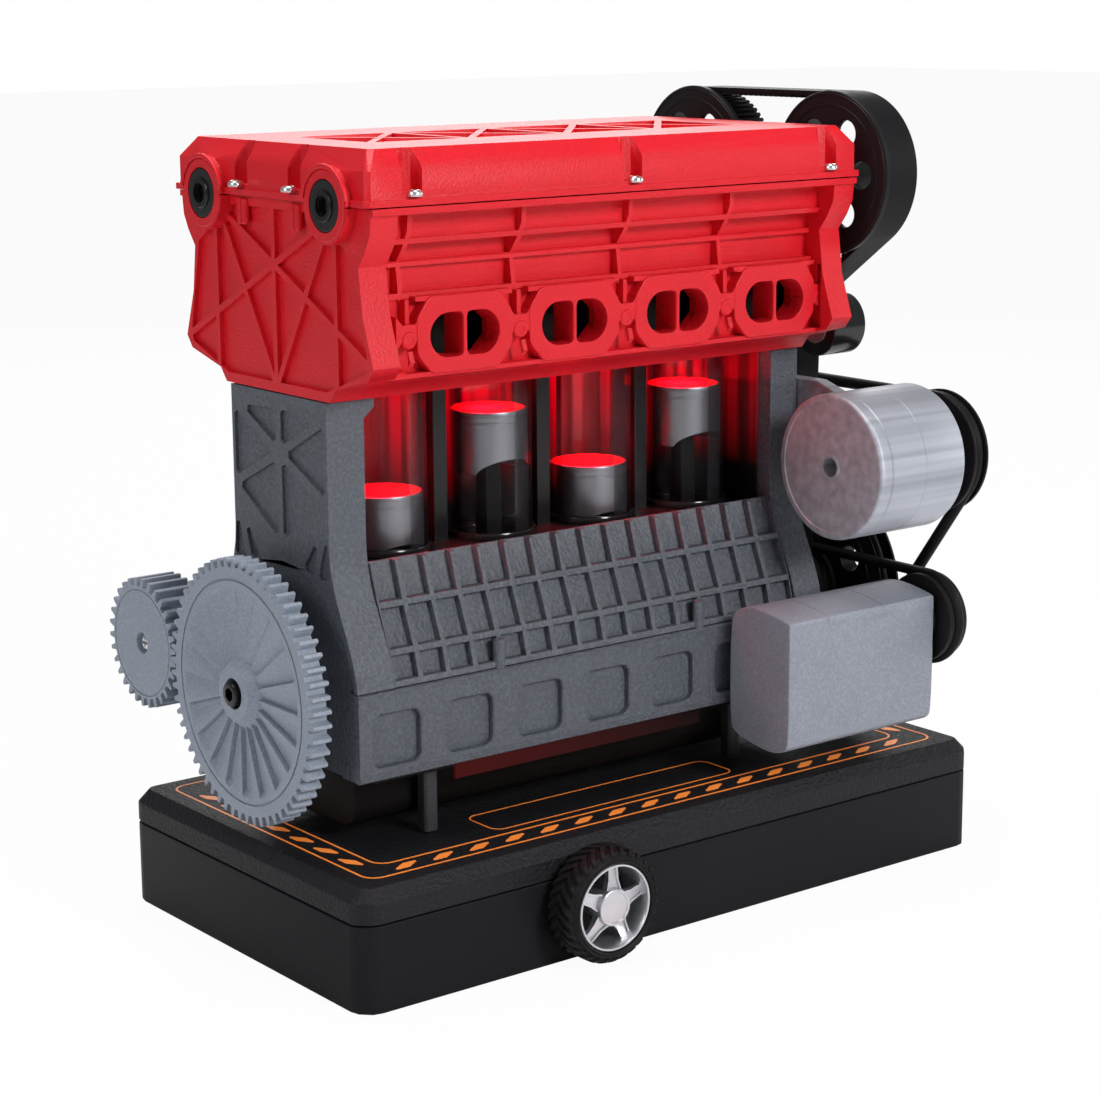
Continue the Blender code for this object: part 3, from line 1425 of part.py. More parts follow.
def make_accessories():
    mesh = bmesh.new()
    small = grooved(compressor_wheel_near, accessory_near, compressor_belt_x, compressor_wheel_radius,
                    compressor_belt_radius, compressor_rim)
    large = grooved(accessory_near, accessory_far, accessory_belt_x, accessory_radius, round_belt_radius, accessory_rim)
    bore = journal_radius + gap
    profile = [(compressor_wheel_near, bore)] + small + large + [(accessory_far, bore)]
    turned(mesh, profile, "x", crank_spot, fine_steps, closed=True)
    wheel = piece("accessory_pulley", mesh, "black_plastic", (0, *crank_spot))
    mesh = bmesh.new()
    for k in range(accessory_hole_count):
        angle = 2 * pi * (k + 1 / 2) / accessory_hole_count
        reach = accessory_hole_circle
        place = (engine_y + reach * cos(angle), crank_z + reach * sin(angle))
        rod_round(mesh, "x", place, accessory_hole_radius, accessory_near - overrun, accessory_far + overrun, tiny_steps)
    cut(wheel, mesh)

    mesh = bmesh.new()
    bore = roller_pin_radius + gap
    rim = grooved(accessory_near, accessory_far, accessory_belt_x, idler_radius, round_belt_radius, idler_rim)
    profile = [(accessory_near, bore)] + rim + [(accessory_far, bore)]
    turned(mesh, profile, "x", idler_spot, round_steps, closed=True)
    piece("idler_pulley", mesh, "black_plastic", (0, *idler_spot))

    mesh = bmesh.new()
    hub = alternator_far + gap
    rim = grooved(accessory_near, accessory_far, accessory_belt_x, alternator_pulley_radius, round_belt_radius,
                  alternator_pulley_rim)
    profile = [(alternator_far - shaft_engagement, 0), (alternator_far - shaft_engagement, shaft_radius),
               (hub, shaft_radius), (hub, alternator_hub_radius), (accessory_near, alternator_hub_radius)]
    turned(mesh, profile + rim + [(accessory_far, 0)], "x", alternator_spot, round_steps)
    piece("alternator_pulley", mesh, "gear_grey", (0, *alternator_spot))

    mesh = bmesh.new()
    seam = alternator_near + alternator_cap
    edge = alternator_edge
    profile = (
        (alternator_near + alternator_hole_depth, 0), (alternator_near + alternator_hole_depth, alternator_hole_radius),
        (alternator_near, alternator_hole_radius), (alternator_near, alternator_radius - edge),
        (alternator_near + edge, alternator_radius), (seam - alternator_groove, alternator_radius),
        (seam, alternator_radius - alternator_groove), (seam + alternator_groove, alternator_radius),
        (alternator_far - edge, alternator_radius), (alternator_far, alternator_radius - edge), (alternator_far, 0),
    )
    turned(mesh, profile, "x", alternator_spot, fine_steps)
    body = piece("alternator_body", mesh, "gear_grey")
    y, z = alternator_spot
    knee = y + lug_knee
    outline = [
        (y + lug_inner, z + lug_bottom), (y + lug_inner, z + lug_top), (knee, z + lug_top),
        (y + alternator_radius / 2, z + lug_top - lug_slope), (y + alternator_radius / 2, z + lug_bottom),
    ]
    mesh = bmesh.new()
    prism(mesh, outline, "x", block_right + gap, block_right + gap + lug_thickness)
    join(body, mesh)
    mesh = bmesh.new()
    bore = (alternator_far - shaft_engagement - gap, alternator_far + overrun)
    rod_round(mesh, "x", alternator_spot, shaft_radius + gap, *bore, small_steps)
    cut(body, mesh)

    mesh = bmesh.new()
    hub = compressor_far + gap
    rim = grooved(compressor_wheel_near, compressor_wheel_far, compressor_belt_x, compressor_wheel_radius,
                  compressor_belt_radius, compressor_rim)
    profile = [(compressor_far - shaft_engagement, 0), (compressor_far - shaft_engagement, shaft_radius),
               (hub, shaft_radius), (hub, alternator_hub_radius), (compressor_wheel_near, alternator_hub_radius)]
    turned(mesh, profile + rim + [(compressor_wheel_far, 0)], "x", compressor_spot, round_steps)
    piece("compressor_pulley", mesh, "black_plastic", (0, *compressor_spot))

    y, z = compressor_spot
    front, low = y - compressor_front, z - compressor_drop
    outline = [(front + across * compressor_depth, low + up * compressor_height) for across, up in compressor_shares]
    drawn = drawn_in(outline[::-1], compressor_edge)
    mesh = bmesh.new()
    prism(mesh, outline, "x", compressor_near + compressor_edge, compressor_far - compressor_edge)
    body = piece("compressor_body", mesh, "gear_grey")
    mesh = bmesh.new()
    prism(mesh, drawn, "x", compressor_near, compressor_far)
    for x in (compressor_near + compressor_edge + peg_inset, inner_right):
        for side in (-1, 1):
            place = (x, (skirt_bottom + skirt_top) / 2 + side * peg_rise)
            back = front + compressor_depth
            rod_round(mesh, "y", place, peg_radius, back - gap, engine_y - skirt_half - gap, tiny_steps)
    join(body, mesh)
    mesh = bmesh.new()
    bore = (compressor_far - shaft_engagement - gap, compressor_far + overrun)
    rod_round(mesh, "x", compressor_spot, shaft_radius + gap, *bore, small_steps)
    cut(body, mesh)

    belts = (
        ("alternator_belt", accessory_belt_x, round_belt_radius, [
            (crank_spot, accessory_radius), (idler_spot, idler_radius), (alternator_spot, alternator_pulley_radius),
        ]),
        ("compressor_belt", compressor_belt_x, compressor_belt_radius, [
            (crank_spot, compressor_wheel_radius), (compressor_spot, compressor_wheel_radius),
        ]),
    )
    for name, x, wire, wheels in belts:
        path = belt_path(wheels, 2 * pi / round_steps)
        data = bpy.data.curves.new(name, "CURVE")
        data.dimensions = "3D"
        data.bevel_depth = wire
        data.bevel_resolution = 1
        line = data.splines.new("POLY")
        line.points.add(len(path) - 1)
        for point, flat in zip(line.points, path):
            point.co = (*spot("x", flat, x), 1)
        line.use_cyclic_u = True
        item = bpy.data.objects.new(name, data)
        bpy.context.collection.objects.link(item)
        data.materials.append(painted(name, "rubber"))


make_base()
make_knob()
make_legs_and_sump()
make_sides()
make_end_plates()
make_deck()
make_head()
make_cover()
make_camshafts()
make_timing_drive()
make_crank()
make_pistons()
make_flywheel()
make_accessories()
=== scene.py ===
# Four stroke engine model: finishes, fine pieces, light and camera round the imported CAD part.
# Metres, +Z up. The front is at -Y, the belt end at +X.
import json
from math import asin, atan2, ceil, cos, pi, radians, sin
import bmesh
import bpy
from mathutils import Matrix, Vector

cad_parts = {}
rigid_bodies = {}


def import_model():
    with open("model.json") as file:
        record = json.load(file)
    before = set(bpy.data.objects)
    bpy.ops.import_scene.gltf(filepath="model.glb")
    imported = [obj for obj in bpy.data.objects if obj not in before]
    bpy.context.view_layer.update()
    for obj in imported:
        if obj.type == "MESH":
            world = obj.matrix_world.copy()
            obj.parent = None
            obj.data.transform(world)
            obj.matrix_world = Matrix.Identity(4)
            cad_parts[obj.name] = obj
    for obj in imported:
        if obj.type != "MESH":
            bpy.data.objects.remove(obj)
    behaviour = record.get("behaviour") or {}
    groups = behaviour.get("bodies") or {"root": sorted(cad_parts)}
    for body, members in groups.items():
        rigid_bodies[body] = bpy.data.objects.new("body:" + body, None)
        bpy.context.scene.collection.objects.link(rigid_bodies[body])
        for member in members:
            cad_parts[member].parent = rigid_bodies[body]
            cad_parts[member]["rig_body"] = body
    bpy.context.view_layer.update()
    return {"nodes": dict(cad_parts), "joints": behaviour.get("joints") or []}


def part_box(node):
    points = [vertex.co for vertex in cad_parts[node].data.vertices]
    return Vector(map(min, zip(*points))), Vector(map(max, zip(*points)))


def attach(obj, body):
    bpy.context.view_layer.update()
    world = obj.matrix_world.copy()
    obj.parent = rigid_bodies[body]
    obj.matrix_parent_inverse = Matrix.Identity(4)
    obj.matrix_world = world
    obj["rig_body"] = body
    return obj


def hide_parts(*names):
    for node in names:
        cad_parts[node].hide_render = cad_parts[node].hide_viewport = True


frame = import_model()
mm = 0.001


def sizes(**values):
    # lengths given in millimetres, alone or in tuples, as metres
    return {name: tuple(one * mm for one in value) if isinstance(value, tuple) else value * mm
            for name, value in values.items()}


# Node trees. A Wire is one socket; sums on wires add Math nodes, and any other node comes from Graph.add.
class Wire:
    def __init__(self, graph, socket):
        self.graph = graph
        self.socket = socket

    def other(self, name):
        return Wire(self.graph, self.socket.node.outputs[name])

    def __add__(self, value):
        return self.graph.sum("ADD", self, value)

    def __sub__(self, value):
        return self.graph.sum("SUBTRACT", self, value)

    def __rsub__(self, value):
        return self.graph.sum("SUBTRACT", value, self)

    def __mul__(self, value):
        return self.graph.sum("MULTIPLY", self, value)

    def __gt__(self, value):
        return self.graph.sum("GREATER_THAN", self, value)

    __rmul__ = __mul__


class Graph:
    def __init__(self, tree):
        self.tree = tree

    def add(self, kind, values=None, settings=None, out=0):
        node = self.tree.nodes.new(kind)
        for name, value in (settings or {}).items():
            setattr(node, name, value)
        for key, value in (values or {}).items():
            if isinstance(value, Wire):
                self.tree.links.new(value.socket, node.inputs[key])
            else:
                node.inputs[key].default_value = value
        return Wire(self, node.outputs[out]) if node.outputs else None

    def sum(self, operation, first, second=0.0):
        return self.add("ShaderNodeMath", {0: first, 1: second}, {"operation": operation})

    def noise(self, place, size, detail=2.0):
        return self.add("ShaderNodeTexNoise", {"Vector": place, "Scale": 1 / size, "Detail": detail})

    def drawn(self, place, scale, detail=2.0):
        # noise drawn out along the axes whose scale is low
        return self.noise(self.add("ShaderNodeMapping", {"Vector": place, "Scale": scale}), 1.0, detail)

    def part(self, place, letter):
        return self.add("ShaderNodeSeparateXYZ", {0: place}).other(letter)

    def ramp(self, value, low, high, first=0.0, last=1.0):
        return self.add("ShaderNodeMapRange", {0: value, 1: low, 2: high, 3: first, 4: last})

    def blend(self, factor, first, second):
        return self.add("ShaderNodeMix", {0: factor, 6: first, 7: second}, {"data_type": "RGBA"}, out=2)

    def bump(self, strength, distance, height):
        return self.add("ShaderNodeBump", {"Strength": strength, "Distance": distance, "Height": height})

    def skin(self, tone, rough, **more):
        # a Principled surface; more values are named without their spaces
        names = {"metallic": "Metallic", "normal": "Normal", "specular": "Specular IOR Level",
                 "alpha": "Alpha", "index": "IOR", "emission": "Emission Color",
                 "strength": "Emission Strength"}
        values = {names[key]: value for key, value in more.items()}
        return self.add("ShaderNodeBsdfPrincipled", {"Base Color": tone, "Roughness": rough, **values})


def colour(values, share=1.0):
    return tuple(min(1.0, value * share) for value in values) + (1.0,)


paints = {}


def painted(name, finish, *look):
    # each finish gets the graph, the place on the object and its look, and gives the surface
    made = bpy.data.materials.new(name)
    made.use_nodes = True
    made.node_tree.nodes.clear()
    graph = Graph(made.node_tree)
    place = graph.add("ShaderNodeTexCoord", out="Object")
    graph.add("ShaderNodeOutputMaterial", {"Surface": finish(graph, place, *look)})
    paints[name] = made


# Printed and moulded plastics: grain, relief and ridge in mm, where ridge is the printing layers' height,
# along Z or slanting, and streak is the contrast of a silky plastic's lines along X, with painted highlight
# streaks
plastics = {
    "basePlastic": dict(tone=(0.0105, 0.0105, 0.0125), rough=0.46, grain=0.45, bump=0.22, cloud=0.10,
                        specular=0.09),
    "lidPlastic": dict(tone=(0.007, 0.007, 0.009), rough=0.55, grain=0.95, bump=1.0, cloud=0.12,
                       specular=0.24, relief=0.45, speck=3.0),
    "blockPlastic": dict(tone=(0.076, 0.085, 0.102), rough=0.46, grain=0.85, bump=0.95, cloud=0.12,
                         specular=0.42, relief=0.34, speck=3.0),
    "headPlastic": dict(tone=(0.680, 0.008, 0.018), rough=0.42, grain=0.60, bump=0.6, cloud=0.08,
                        specular=0.36, relief=0.18),
    "gearPlastic": dict(tone=(0.262, 0.300, 0.362), rough=0.48, grain=0.60, bump=0.5, cloud=0.07,
                        specular=0.40, relief=0.18, speck=1.5),
    "silkPlastic": dict(tone=(0.430, 0.450, 0.505), rough=0.42, grain=0.30, bump=0.35, cloud=0.10,
                        specular=0.5, ridge=0.26, metal=0.45, streak=0.50),
    "rowedPlastic": dict(tone=(0.250, 0.270, 0.318), rough=0.40, grain=0.60, bump=0.5, cloud=0.08,
                         specular=0.45, relief=0.18, speck=1.5, ridge=0.42, slant=True, metal=0.15),
    "pulleyPlastic": dict(tone=(0.010, 0.009, 0.010), rough=0.42, grain=0.50, bump=0.40, cloud=0.15,
                          specular=0.18),
    "glossPlastic": dict(tone=(0.010, 0.010, 0.011), rough=0.16, grain=0.60, bump=0.05, cloud=0.10,
                         specular=0.50),
    "sumpPlastic": dict(tone=(0.006, 0.005, 0.005), rough=0.45, grain=0.60, bump=0.6, cloud=0.2,
                        specular=0.15),
    # the legs: a darker copy of the block's plastic, as painted shade under the skirt
    "legPlastic": dict(tone=(0.040, 0.042, 0.047), rough=0.45, grain=0.75, bump=0.7, cloud=0.12,
                       specular=0.35, relief=0.25),
    "rodPlastic": dict(tone=(0.012, 0.012, 0.013), rough=0.30, grain=0.40, bump=0.15, cloud=0.10,
                       specular=0.30),
}


def plastic(graph, place, look):
    tone = look["tone"]
    cloud = graph.noise(place, 14 * mm, 4.0)
    grain = graph.noise(place, look["grain"] * mm, 3.0)
    height = grain
    if "ridge" in look:
        run = graph.part(place, "X") + graph.part(place, "Z") if "slant" in look else graph.part(place, "Z")
        height = grain * 0.6 + graph.sum("SINE", run * (2 * pi / (look["ridge"] * mm))) * 0.35
    skin = graph.blend(cloud, colour(tone, 1 - look["cloud"]), colour(tone, 1 + look["cloud"]))
    skin = graph.blend((grain - 0.42) * look.get("speck", 0.6), skin, colour(tone, 1.6))
    # bands along X: the silky plastic's own lines, and painted highlight streaks
    if "streak" in look:
        line = graph.drawn(place, (6.0, 420.0, 420.0), 3.0)
        skin = graph.blend(line, colour(tone, 1 - look["streak"]), colour(tone, 1 + look["streak"]))
    bump = graph.bump(look["bump"], look.get("relief", 0.12) * mm, height)
    return graph.skin(skin, grain * 0.16 + (look["rough"] - 0.08), metallic=look.get("metal", 0.0),
                      normal=bump, specular=look["specular"])


# Brushed or turned metals: tone, roughness, scratch size, the axis that the scratches run across,
# and for one of them how deep they look
metals = {
    "pistonMetal": ((0.32, 0.32, 0.35), 0.38, 0.25 * mm, "Z"),
    "crankSteel": ((0.46, 0.46, 0.48), 0.30, 0.25 * mm, "X"),
    "screwSteel": ((0.70, 0.70, 0.72), 0.24, 0.20 * mm, "Z"),
    "boltSteel": ((0.035, 0.035, 0.038), 0.28, 0.25 * mm, "X"),
    "rimSilver": ((0.66, 0.67, 0.70), 0.32, 0.5 * mm, "Y", 0.12),
}


def metal(graph, place, tone, rough, brush, axis, depth=0.2):
    scratch = graph.drawn(place, [1 / brush if letter == axis else 0.12 / brush for letter in "XYZ"], 3.0)
    cloud = graph.noise(place, 6 * mm)
    return graph.skin(graph.blend(scratch, colour(tone, 0.86), colour(tone, 1.12)),
                      cloud * 0.12 + scratch * 0.10 + (rough - 0.11), metallic=0.92,
                      normal=graph.bump(depth, 0.05 * mm, scratch))


def rubber(graph, place, *tone):
    worn = graph.noise(place, 4 * mm, 4.0)
    bump = graph.bump(0.25, 0.08 * mm, graph.noise(place, 0.3 * mm))
    skin = graph.blend(worn, colour(tone, 0.8), colour(tone, 1.5))
    return graph.skin(skin, worn * 0.2 + 0.4, normal=bump, specular=0.12)


black = (0.0, 0.0, 0.0, 1)


def paintedLampLight(graph, place, low, high, scale, first, last, least):
    # the lamps' light painted on as a mask for emission, which fades from the height high down to low, in
    # upright streaks
    fade = graph.ramp(graph.part(place, "Z"), low, high)
    return fade * graph.ramp(graph.drawn(place, scale), first, last, least)


def clearPlastic(graph, place):
    # thin clear tube: it shows most at its edges, and the half behind the piston has the red lamps' light
    # painted on as emission, which also makes it less clear there
    streak = graph.drawn(place, (700.0, 700.0, 25.0))
    edge = graph.add("ShaderNodeLayerWeight", {"Blend": 0.32}, out="Fresnel")
    paintedRedLight = paintedLampLight(graph, place, 0.098, 0.131, (330.0, 330.0, 10.0), 0.44, 0.63, 0.10)
    paintedRedLight = paintedRedLight * (graph.part(place, "Y") > -1.5 * mm)
    return graph.skin((0.03, 0.03, 0.034, 1), graph.noise(place, 5 * mm) * 0.06 + 0.02, index=1.5,
                      alpha=edge * 0.60 + streak * 0.06 + paintedRedLight * 0.85,
                      emission=graph.blend(paintedRedLight, black, (0.70, 0.0, 0.008, 1)), strength=1.3)


def wallGlow(graph, place):
    # black plastic whose front has the red lamps' light painted on as emission
    paintedRedLight = paintedLampLight(graph, place, 0.100, 0.130, (210.0, 210.0, 9.0), 0.38, 0.66, 0.15)
    paintedRedLight = paintedRedLight * (1 - (graph.part(place, "Y") > 10.8 * mm))
    return graph.skin((0.010, 0.008, 0.008, 1), graph.noise(place, 0.4 * mm) * 0.2 + 0.3, specular=0.2,
                      emission=graph.blend(paintedRedLight, black, (0.50, 0.0, 0.006, 1)), strength=0.8)


def stripGlow(graph, place):
    # painted dark red light, as emission, that fades towards the belt end
    fade = graph.ramp(graph.part(place, "X"), -0.054, 0.018, 1.0, 0.0)
    speck = graph.noise(place, 3 * mm)
    paintedRedLight = graph.blend(fade * (speck * 0.5 + 0.75), black, (0.062, 0.0006, 0.0015, 1))
    return graph.skin((0.010, 0.002, 0.002, 1), speck * 0.2 + 0.4, specular=0.1, emission=paintedRedLight, strength=0.8)


def glow(graph, place, tone, strength):
    speck = graph.noise(place, 1.2 * mm)
    return graph.skin(colour(tone, 0.4), speck * 0.2 + 0.3, specular=0.1, strength=strength,
                      emission=graph.blend(speck, colour(tone, 0.8), colour(tone)))


# orange print whose colour is also given as a faint emission, a painted brightness
def printInk(graph, place):
    speck = graph.noise(place, 0.5 * mm)
    skin = graph.blend(speck, (0.90, 0.20, 0.025, 1), (1.0, 0.33, 0.06, 1))
    return graph.skin(skin, speck * 0.2 + 0.35, emission=skin, strength=0.22)


for name, look in plastics.items():
    painted(name, plastic, look)
for name, look in metals.items():
    painted(name, metal, *look)
painted("beltRubber", rubber, 0.007, 0.007, 0.008)
painted("tyreRubber", rubber, 0.010, 0.010, 0.011)
painted("clearPlastic", clearPlastic)
painted("wallGlow", wallGlow)
painted("orangeInk", printInk)
painted("sumpGlow", stripGlow)
# the piston crowns' red light is painted on as emission, though they are no lamps; lampGlow is the lamp strip's
# own light
painted("crownGlow", glow, (1.0, 0.004, 0.012), 0.85)
painted("lampGlow", glow, (1.0, 0.03, 0.04), 6.0)
print("finishes:", len(paints))

# The slot that each finish belongs to
slots = {
    "base_plastic": ("basePlastic", "lidPlastic"), "engine_plastic": ("blockPlastic", "legPlastic"),
    "red_plastic": ("headPlastic",), "grey_plastic": ("gearPlastic", "silkPlastic", "rowedPlastic"),
    "black_plastic": ("pulleyPlastic", "glossPlastic", "sumpPlastic", "rodPlastic", "wallGlow", "sumpGlow"),
    "silver_metal": ("pistonMetal", "crownGlow"), "shaft_steel": ("crankSteel", "screwSteel", "boltSteel"),
    "knob_silver": ("rimSilver",), "knob_rubber": ("tyreRubber",), "belt_rubber": ("beltRubber",),
    "clear_plastic": ("clearPlastic",),
}
slotOf = {paint: slot for slot, names in slots.items() for paint in names}


# Shapes in bmesh. An outline is a list of points on the two axes that follow the main one
axes = {"x": (0, 1, 2), "y": (1, 2, 0), "z": (2, 0, 1)}


def spotOn(axis, along, first, second):
    place = Vector((0, 0, 0))
    for index, value in zip(axes[axis], (along, first, second)):
        place[index] = value
    return place


def polar(radius, turn, centre=(0, 0)):
    return centre[0] + radius * cos(turn), centre[1] + radius * sin(turn)


def ring(centre, radius, steps, start=0.0, sweep=2 * pi):
    count = steps if sweep == 2 * pi else steps + 1
    return [polar(radius, start + sweep * k / steps, centre) for k in range(count)]


def loop(mesh, axis, along, flats):
    return [mesh.verts.new(spotOn(axis, along, *flat)) for flat in flats]


def lofted(mesh, rows, ends=False):
    # faces between loops of as many corners, and over the first and last loop
    for near, far in zip(rows, rows[1:]):
        for k in range(len(near)):
            mesh.faces.new((near[k - 1], near[k], far[k], far[k - 1]))
    if ends:
        mesh.faces.new(rows[0])
        mesh.faces.new(rows[-1])


def lathe(mesh, axis, centre, profile, steps):
    # profile holds (along, radius) points; it closes on the axis where a radius is 0, and on itself otherwise
    rings = [loop(mesh, axis, along, ring(centre, radius, steps) if radius else [tuple(centre)])
             for along, radius in profile]
    pairs = list(zip(rings, rings[1:]))
    if profile[0][1] and profile[-1][1]:
        pairs.append((rings[-1], rings[0]))
    for near, far in pairs:
        for k in range(steps):
            after = (k + 1) % steps
            corners = [near[k % len(near)], near[after % len(near)], far[after % len(far)], far[k % len(far)]]
            corners = list(dict.fromkeys(corners))
            if len(corners) > 2:
                mesh.faces.new(corners)


def rod(near, far, radius):
    return [(near, 0), (near, radius), (far, radius), (far, 0)]


def tube(near, far, inner, outer):
    return [(near, inner), (near, outer), (far, outer), (far, inner)]


def filled(mesh, loops):
    # one face inside the first loop and outside the others
    edges = []
    for one in loops:
        for k in range(len(one)):
            corners = (one[k - 1], one[k])
            edges.append(mesh.edges.get(corners) or mesh.edges.new(corners))
    bmesh.ops.triangle_fill(mesh, edges=edges, use_beauty=True)


def plate(mesh, axis, outlines, low, high):
    # a flat plate: the first outline is its edge, the others are holes
    sides = []
    for along in (low, high):
        sides.append([loop(mesh, axis, along, outline) for outline in outlines])
        if len(outlines) == 1:
            mesh.faces.new(sides[-1][0])
        else:
            filled(mesh, sides[-1])
    for pair in zip(*sides):
        lofted(mesh, pair)


def rounded(corners, radius, steps=6):
    # a convex outline with round corners
    points = []
    for k in range(len(corners)):
        here = Vector(corners[k])
        before = (Vector(corners[k - 1]) - here).normalized()
        after = (Vector(corners[(k + 1) % len(corners)]) - here).normalized()
        half = before.angle(after) / 2
        middle = here + (before + after).normalized() * radius / sin(half)
        start = here + before * radius / (sin(half) / cos(half)) - middle
        end = here + after * radius / (sin(half) / cos(half)) - middle
        turn = atan2(start.x * end.y - start.y * end.x, start.dot(end))
        for step in range(steps + 1):
            angle = turn * step / steps
            points.append((middle.x + start.x * cos(angle) - start.y * sin(angle),
                           middle.y + start.x * sin(angle) + start.y * cos(angle)))
    return points


def boxOutline(lowFirst, lowSecond, highFirst, highSecond):
    return [(lowFirst, lowSecond), (highFirst, lowSecond), (highFirst, highSecond), (lowFirst, highSecond)]


def drawnIn(flats, margin):
    # a closed line moved inwards, or outwards where the margin is negative
    middle = sum((Vector(flat) for flat in flats), Vector((0, 0))) / len(flats)
    points = []
    for k, flat in enumerate(flats):
        along = Vector(flats[(k + 1) % len(flats)]) - Vector(flats[k - 1])
        normal = Vector((along.y, -along.x)).normalized()
        if normal.dot(Vector(flat) - middle) < 0:
            normal = -normal
        points.append(tuple(Vector(flat) - normal * margin))
    return points


def chamfered(mesh, axis, outline, holes, near, far, cut):
    # a plate whose edges at the near face are cut at 45 degrees, round the outline and each hole
    rows = []
    for flats, margin in [(outline, cut)] + [(hole, -cut) for hole in holes]:
        shapes = ((near, drawnIn(flats, margin)), (near + cut, flats), (far, flats))
        rows.append([loop(mesh, axis, along, line) for along, line in shapes])
        lofted(mesh, rows[-1])
    for level in (0, 2):
        filled(mesh, [loops[level] for loops in rows])


def linked(name, data):
    piece = bpy.data.objects.new(name, data)
    bpy.context.scene.collection.objects.link(piece)
    return piece


def shaded(piece, angle=32):
    piece.data.shade_smooth()
    piece.data.set_sharp_from_angle(angle=radians(angle))
    return piece


def made(name, mesh, paint, smooth=32):
    bmesh.ops.remove_doubles(mesh, verts=mesh.verts, dist=0.001 * mm)
    bmesh.ops.recalc_face_normals(mesh, faces=mesh.faces)
    data = bpy.data.meshes.new(name)
    mesh.to_mesh(data)
    mesh.free()
    data.materials.append(paints[paint])
    return shaded(linked(name, data), smooth)


def baked(piece):
    view = bpy.context.evaluated_depsgraph_get()
    data = bpy.data.meshes.new_from_object(piece.evaluated_get(view))
    piece.modifiers.clear()
    piece.data = data
    return piece


def bevelled(piece, width):
    bevel = piece.modifiers.new("edges", "BEVEL")
    bevel.width = width
    bevel.segments = 2
    bevel.limit_method = "ANGLE"
    bevel.angle_limit = radians(38)
    bevel.harden_normals = True
    return baked(piece)


def flatMesh(axis, plates):
    # each plate is a list of outlines, with its near and its far end
    mesh = bmesh.new()
    for outlines, low, high in plates:
        plate(mesh, axis, outlines, low, high)
    return mesh


def carved(piece, axis, plates):
    # the plates cut out of the piece
    tool = made("cutter", flatMesh(axis, plates), "rodPlastic")
    cut = piece.modifiers.new("cut", "BOOLEAN")
    cut.object = tool
    cut.solver = "EXACT"
    baked(piece)
    piece.data.set_sharp_from_angle(angle=radians(32))
    normals = piece.modifiers.new("normals", "WEIGHTED_NORMAL")  # large faces stay flat to the eye
    normals.keep_sharp = True
    baked(piece)
    bpy.data.objects.remove(tool)
    return piece


def riding(piece, body, stands=(), slot=None):
    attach(piece, body)
    if stands:
        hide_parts(*stands)
    slot = slot or slotOf.get(piece.data.materials[0].name)
    return piece


def lathed(name, paint, axis, shapes, smooth=32):
    # each shape is a centre, a profile and a number of steps
    mesh = bmesh.new()
    for centre, profile, steps in shapes:
        lathe(mesh, axis, centre, profile, steps)
    return made(name, mesh, paint, smooth)


def turned(name, paint, body, axis, shapes, stands=(), smooth=32, slot=None):
    return riding(lathed(name, paint, axis, shapes, smooth), body, stands, slot)


def slabs(name, paint, body, axis, plates, bevel=0.0):
    piece = made(name, flatMesh(axis, plates), paint)
    return riding(bevelled(piece, bevel) if bevel else piece, body)


def softened(node, paint, width):
    # a CAD node with its edges rounded over, which replaces it
    mesh = bmesh.new()
    mesh.from_mesh(frame["nodes"][node].data)
    bmesh.ops.remove_doubles(mesh, verts=mesh.verts, dist=0.002 * mm)
    bmesh.ops.dissolve_limit(mesh, angle_limit=radians(0.8), verts=mesh.verts, edges=mesh.edges)
    piece = bevelled(made(node + "_skin", mesh, paint), width)
    return riding(piece, frame["nodes"][node]["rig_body"], (node,))


# Geometry Nodes: each tree takes a piece's mesh or path, and ends in Realize Instances and Set Material
def makeTree(name, inputs, build):
    tree = bpy.data.node_groups.new(name, "GeometryNodeTree")
    for label, kind in {"Geometry": "Geometry", **inputs, "Material": "Material"}.items():
        tree.interface.new_socket(name=label, in_out="INPUT", socket_type="NodeSocket" + kind)
    tree.interface.new_socket(name="Geometry", in_out="OUTPUT", socket_type="NodeSocketGeometry")
    graph = Graph(tree)
    take = graph.add("NodeGroupInput").other
    real = graph.add("GeometryNodeRealizeInstances", {"Geometry": build(graph, take)})
    joined = graph.add("GeometryNodeMergeByDistance", {"Geometry": real, "Distance": 0.002 * mm})
    coated = graph.add("GeometryNodeSetMaterial", {"Geometry": joined, "Material": take("Material")})
    graph.add("NodeGroupOutput", {"Geometry": coated})
    return tree


def copies(graph, points, pattern, **turn):
    return graph.add("GeometryNodeInstanceOnPoints", {"Points": points, "Instance": pattern, **turn})


def patternOf(graph, take):
    return graph.add("GeometryNodeObjectInfo", {"Object": take("Pattern")}, out="Geometry")


def ringOfCopies(graph, take):
    # copies of the mesh round an axis through Centre
    points = graph.add("GeometryNodePoints", {"Count": take("Count"), "Position": take("Centre")})
    angle = graph.add("GeometryNodeInputIndex") * graph.sum("DIVIDE", 2 * pi, take("Count"))
    turn = graph.add("FunctionNodeAxisAngleToRotation", {"Axis": take("Axis"), "Angle": angle})
    return copies(graph, points, take("Geometry"), Rotation=turn)


def rowOfCopies(graph, take):
    # copies of the mesh in a straight row
    line = graph.add("GeometryNodeMeshLine", {"Count": take("Count"), "Offset": take("Step")})
    return copies(graph, line, take("Geometry"))


def copiesAtSpots(graph, take):
    # copies of the Pattern at the mesh's points, each turned by its "turn" attribute
    turn = graph.add("GeometryNodeInputNamedAttribute", {"Name": "turn"}, {"data_type": "FLOAT_VECTOR"})
    rotation = graph.add("FunctionNodeEulerToRotation", {"Euler": turn})
    return copies(graph, take("Geometry"), patternOf(graph, take), Rotation=rotation)


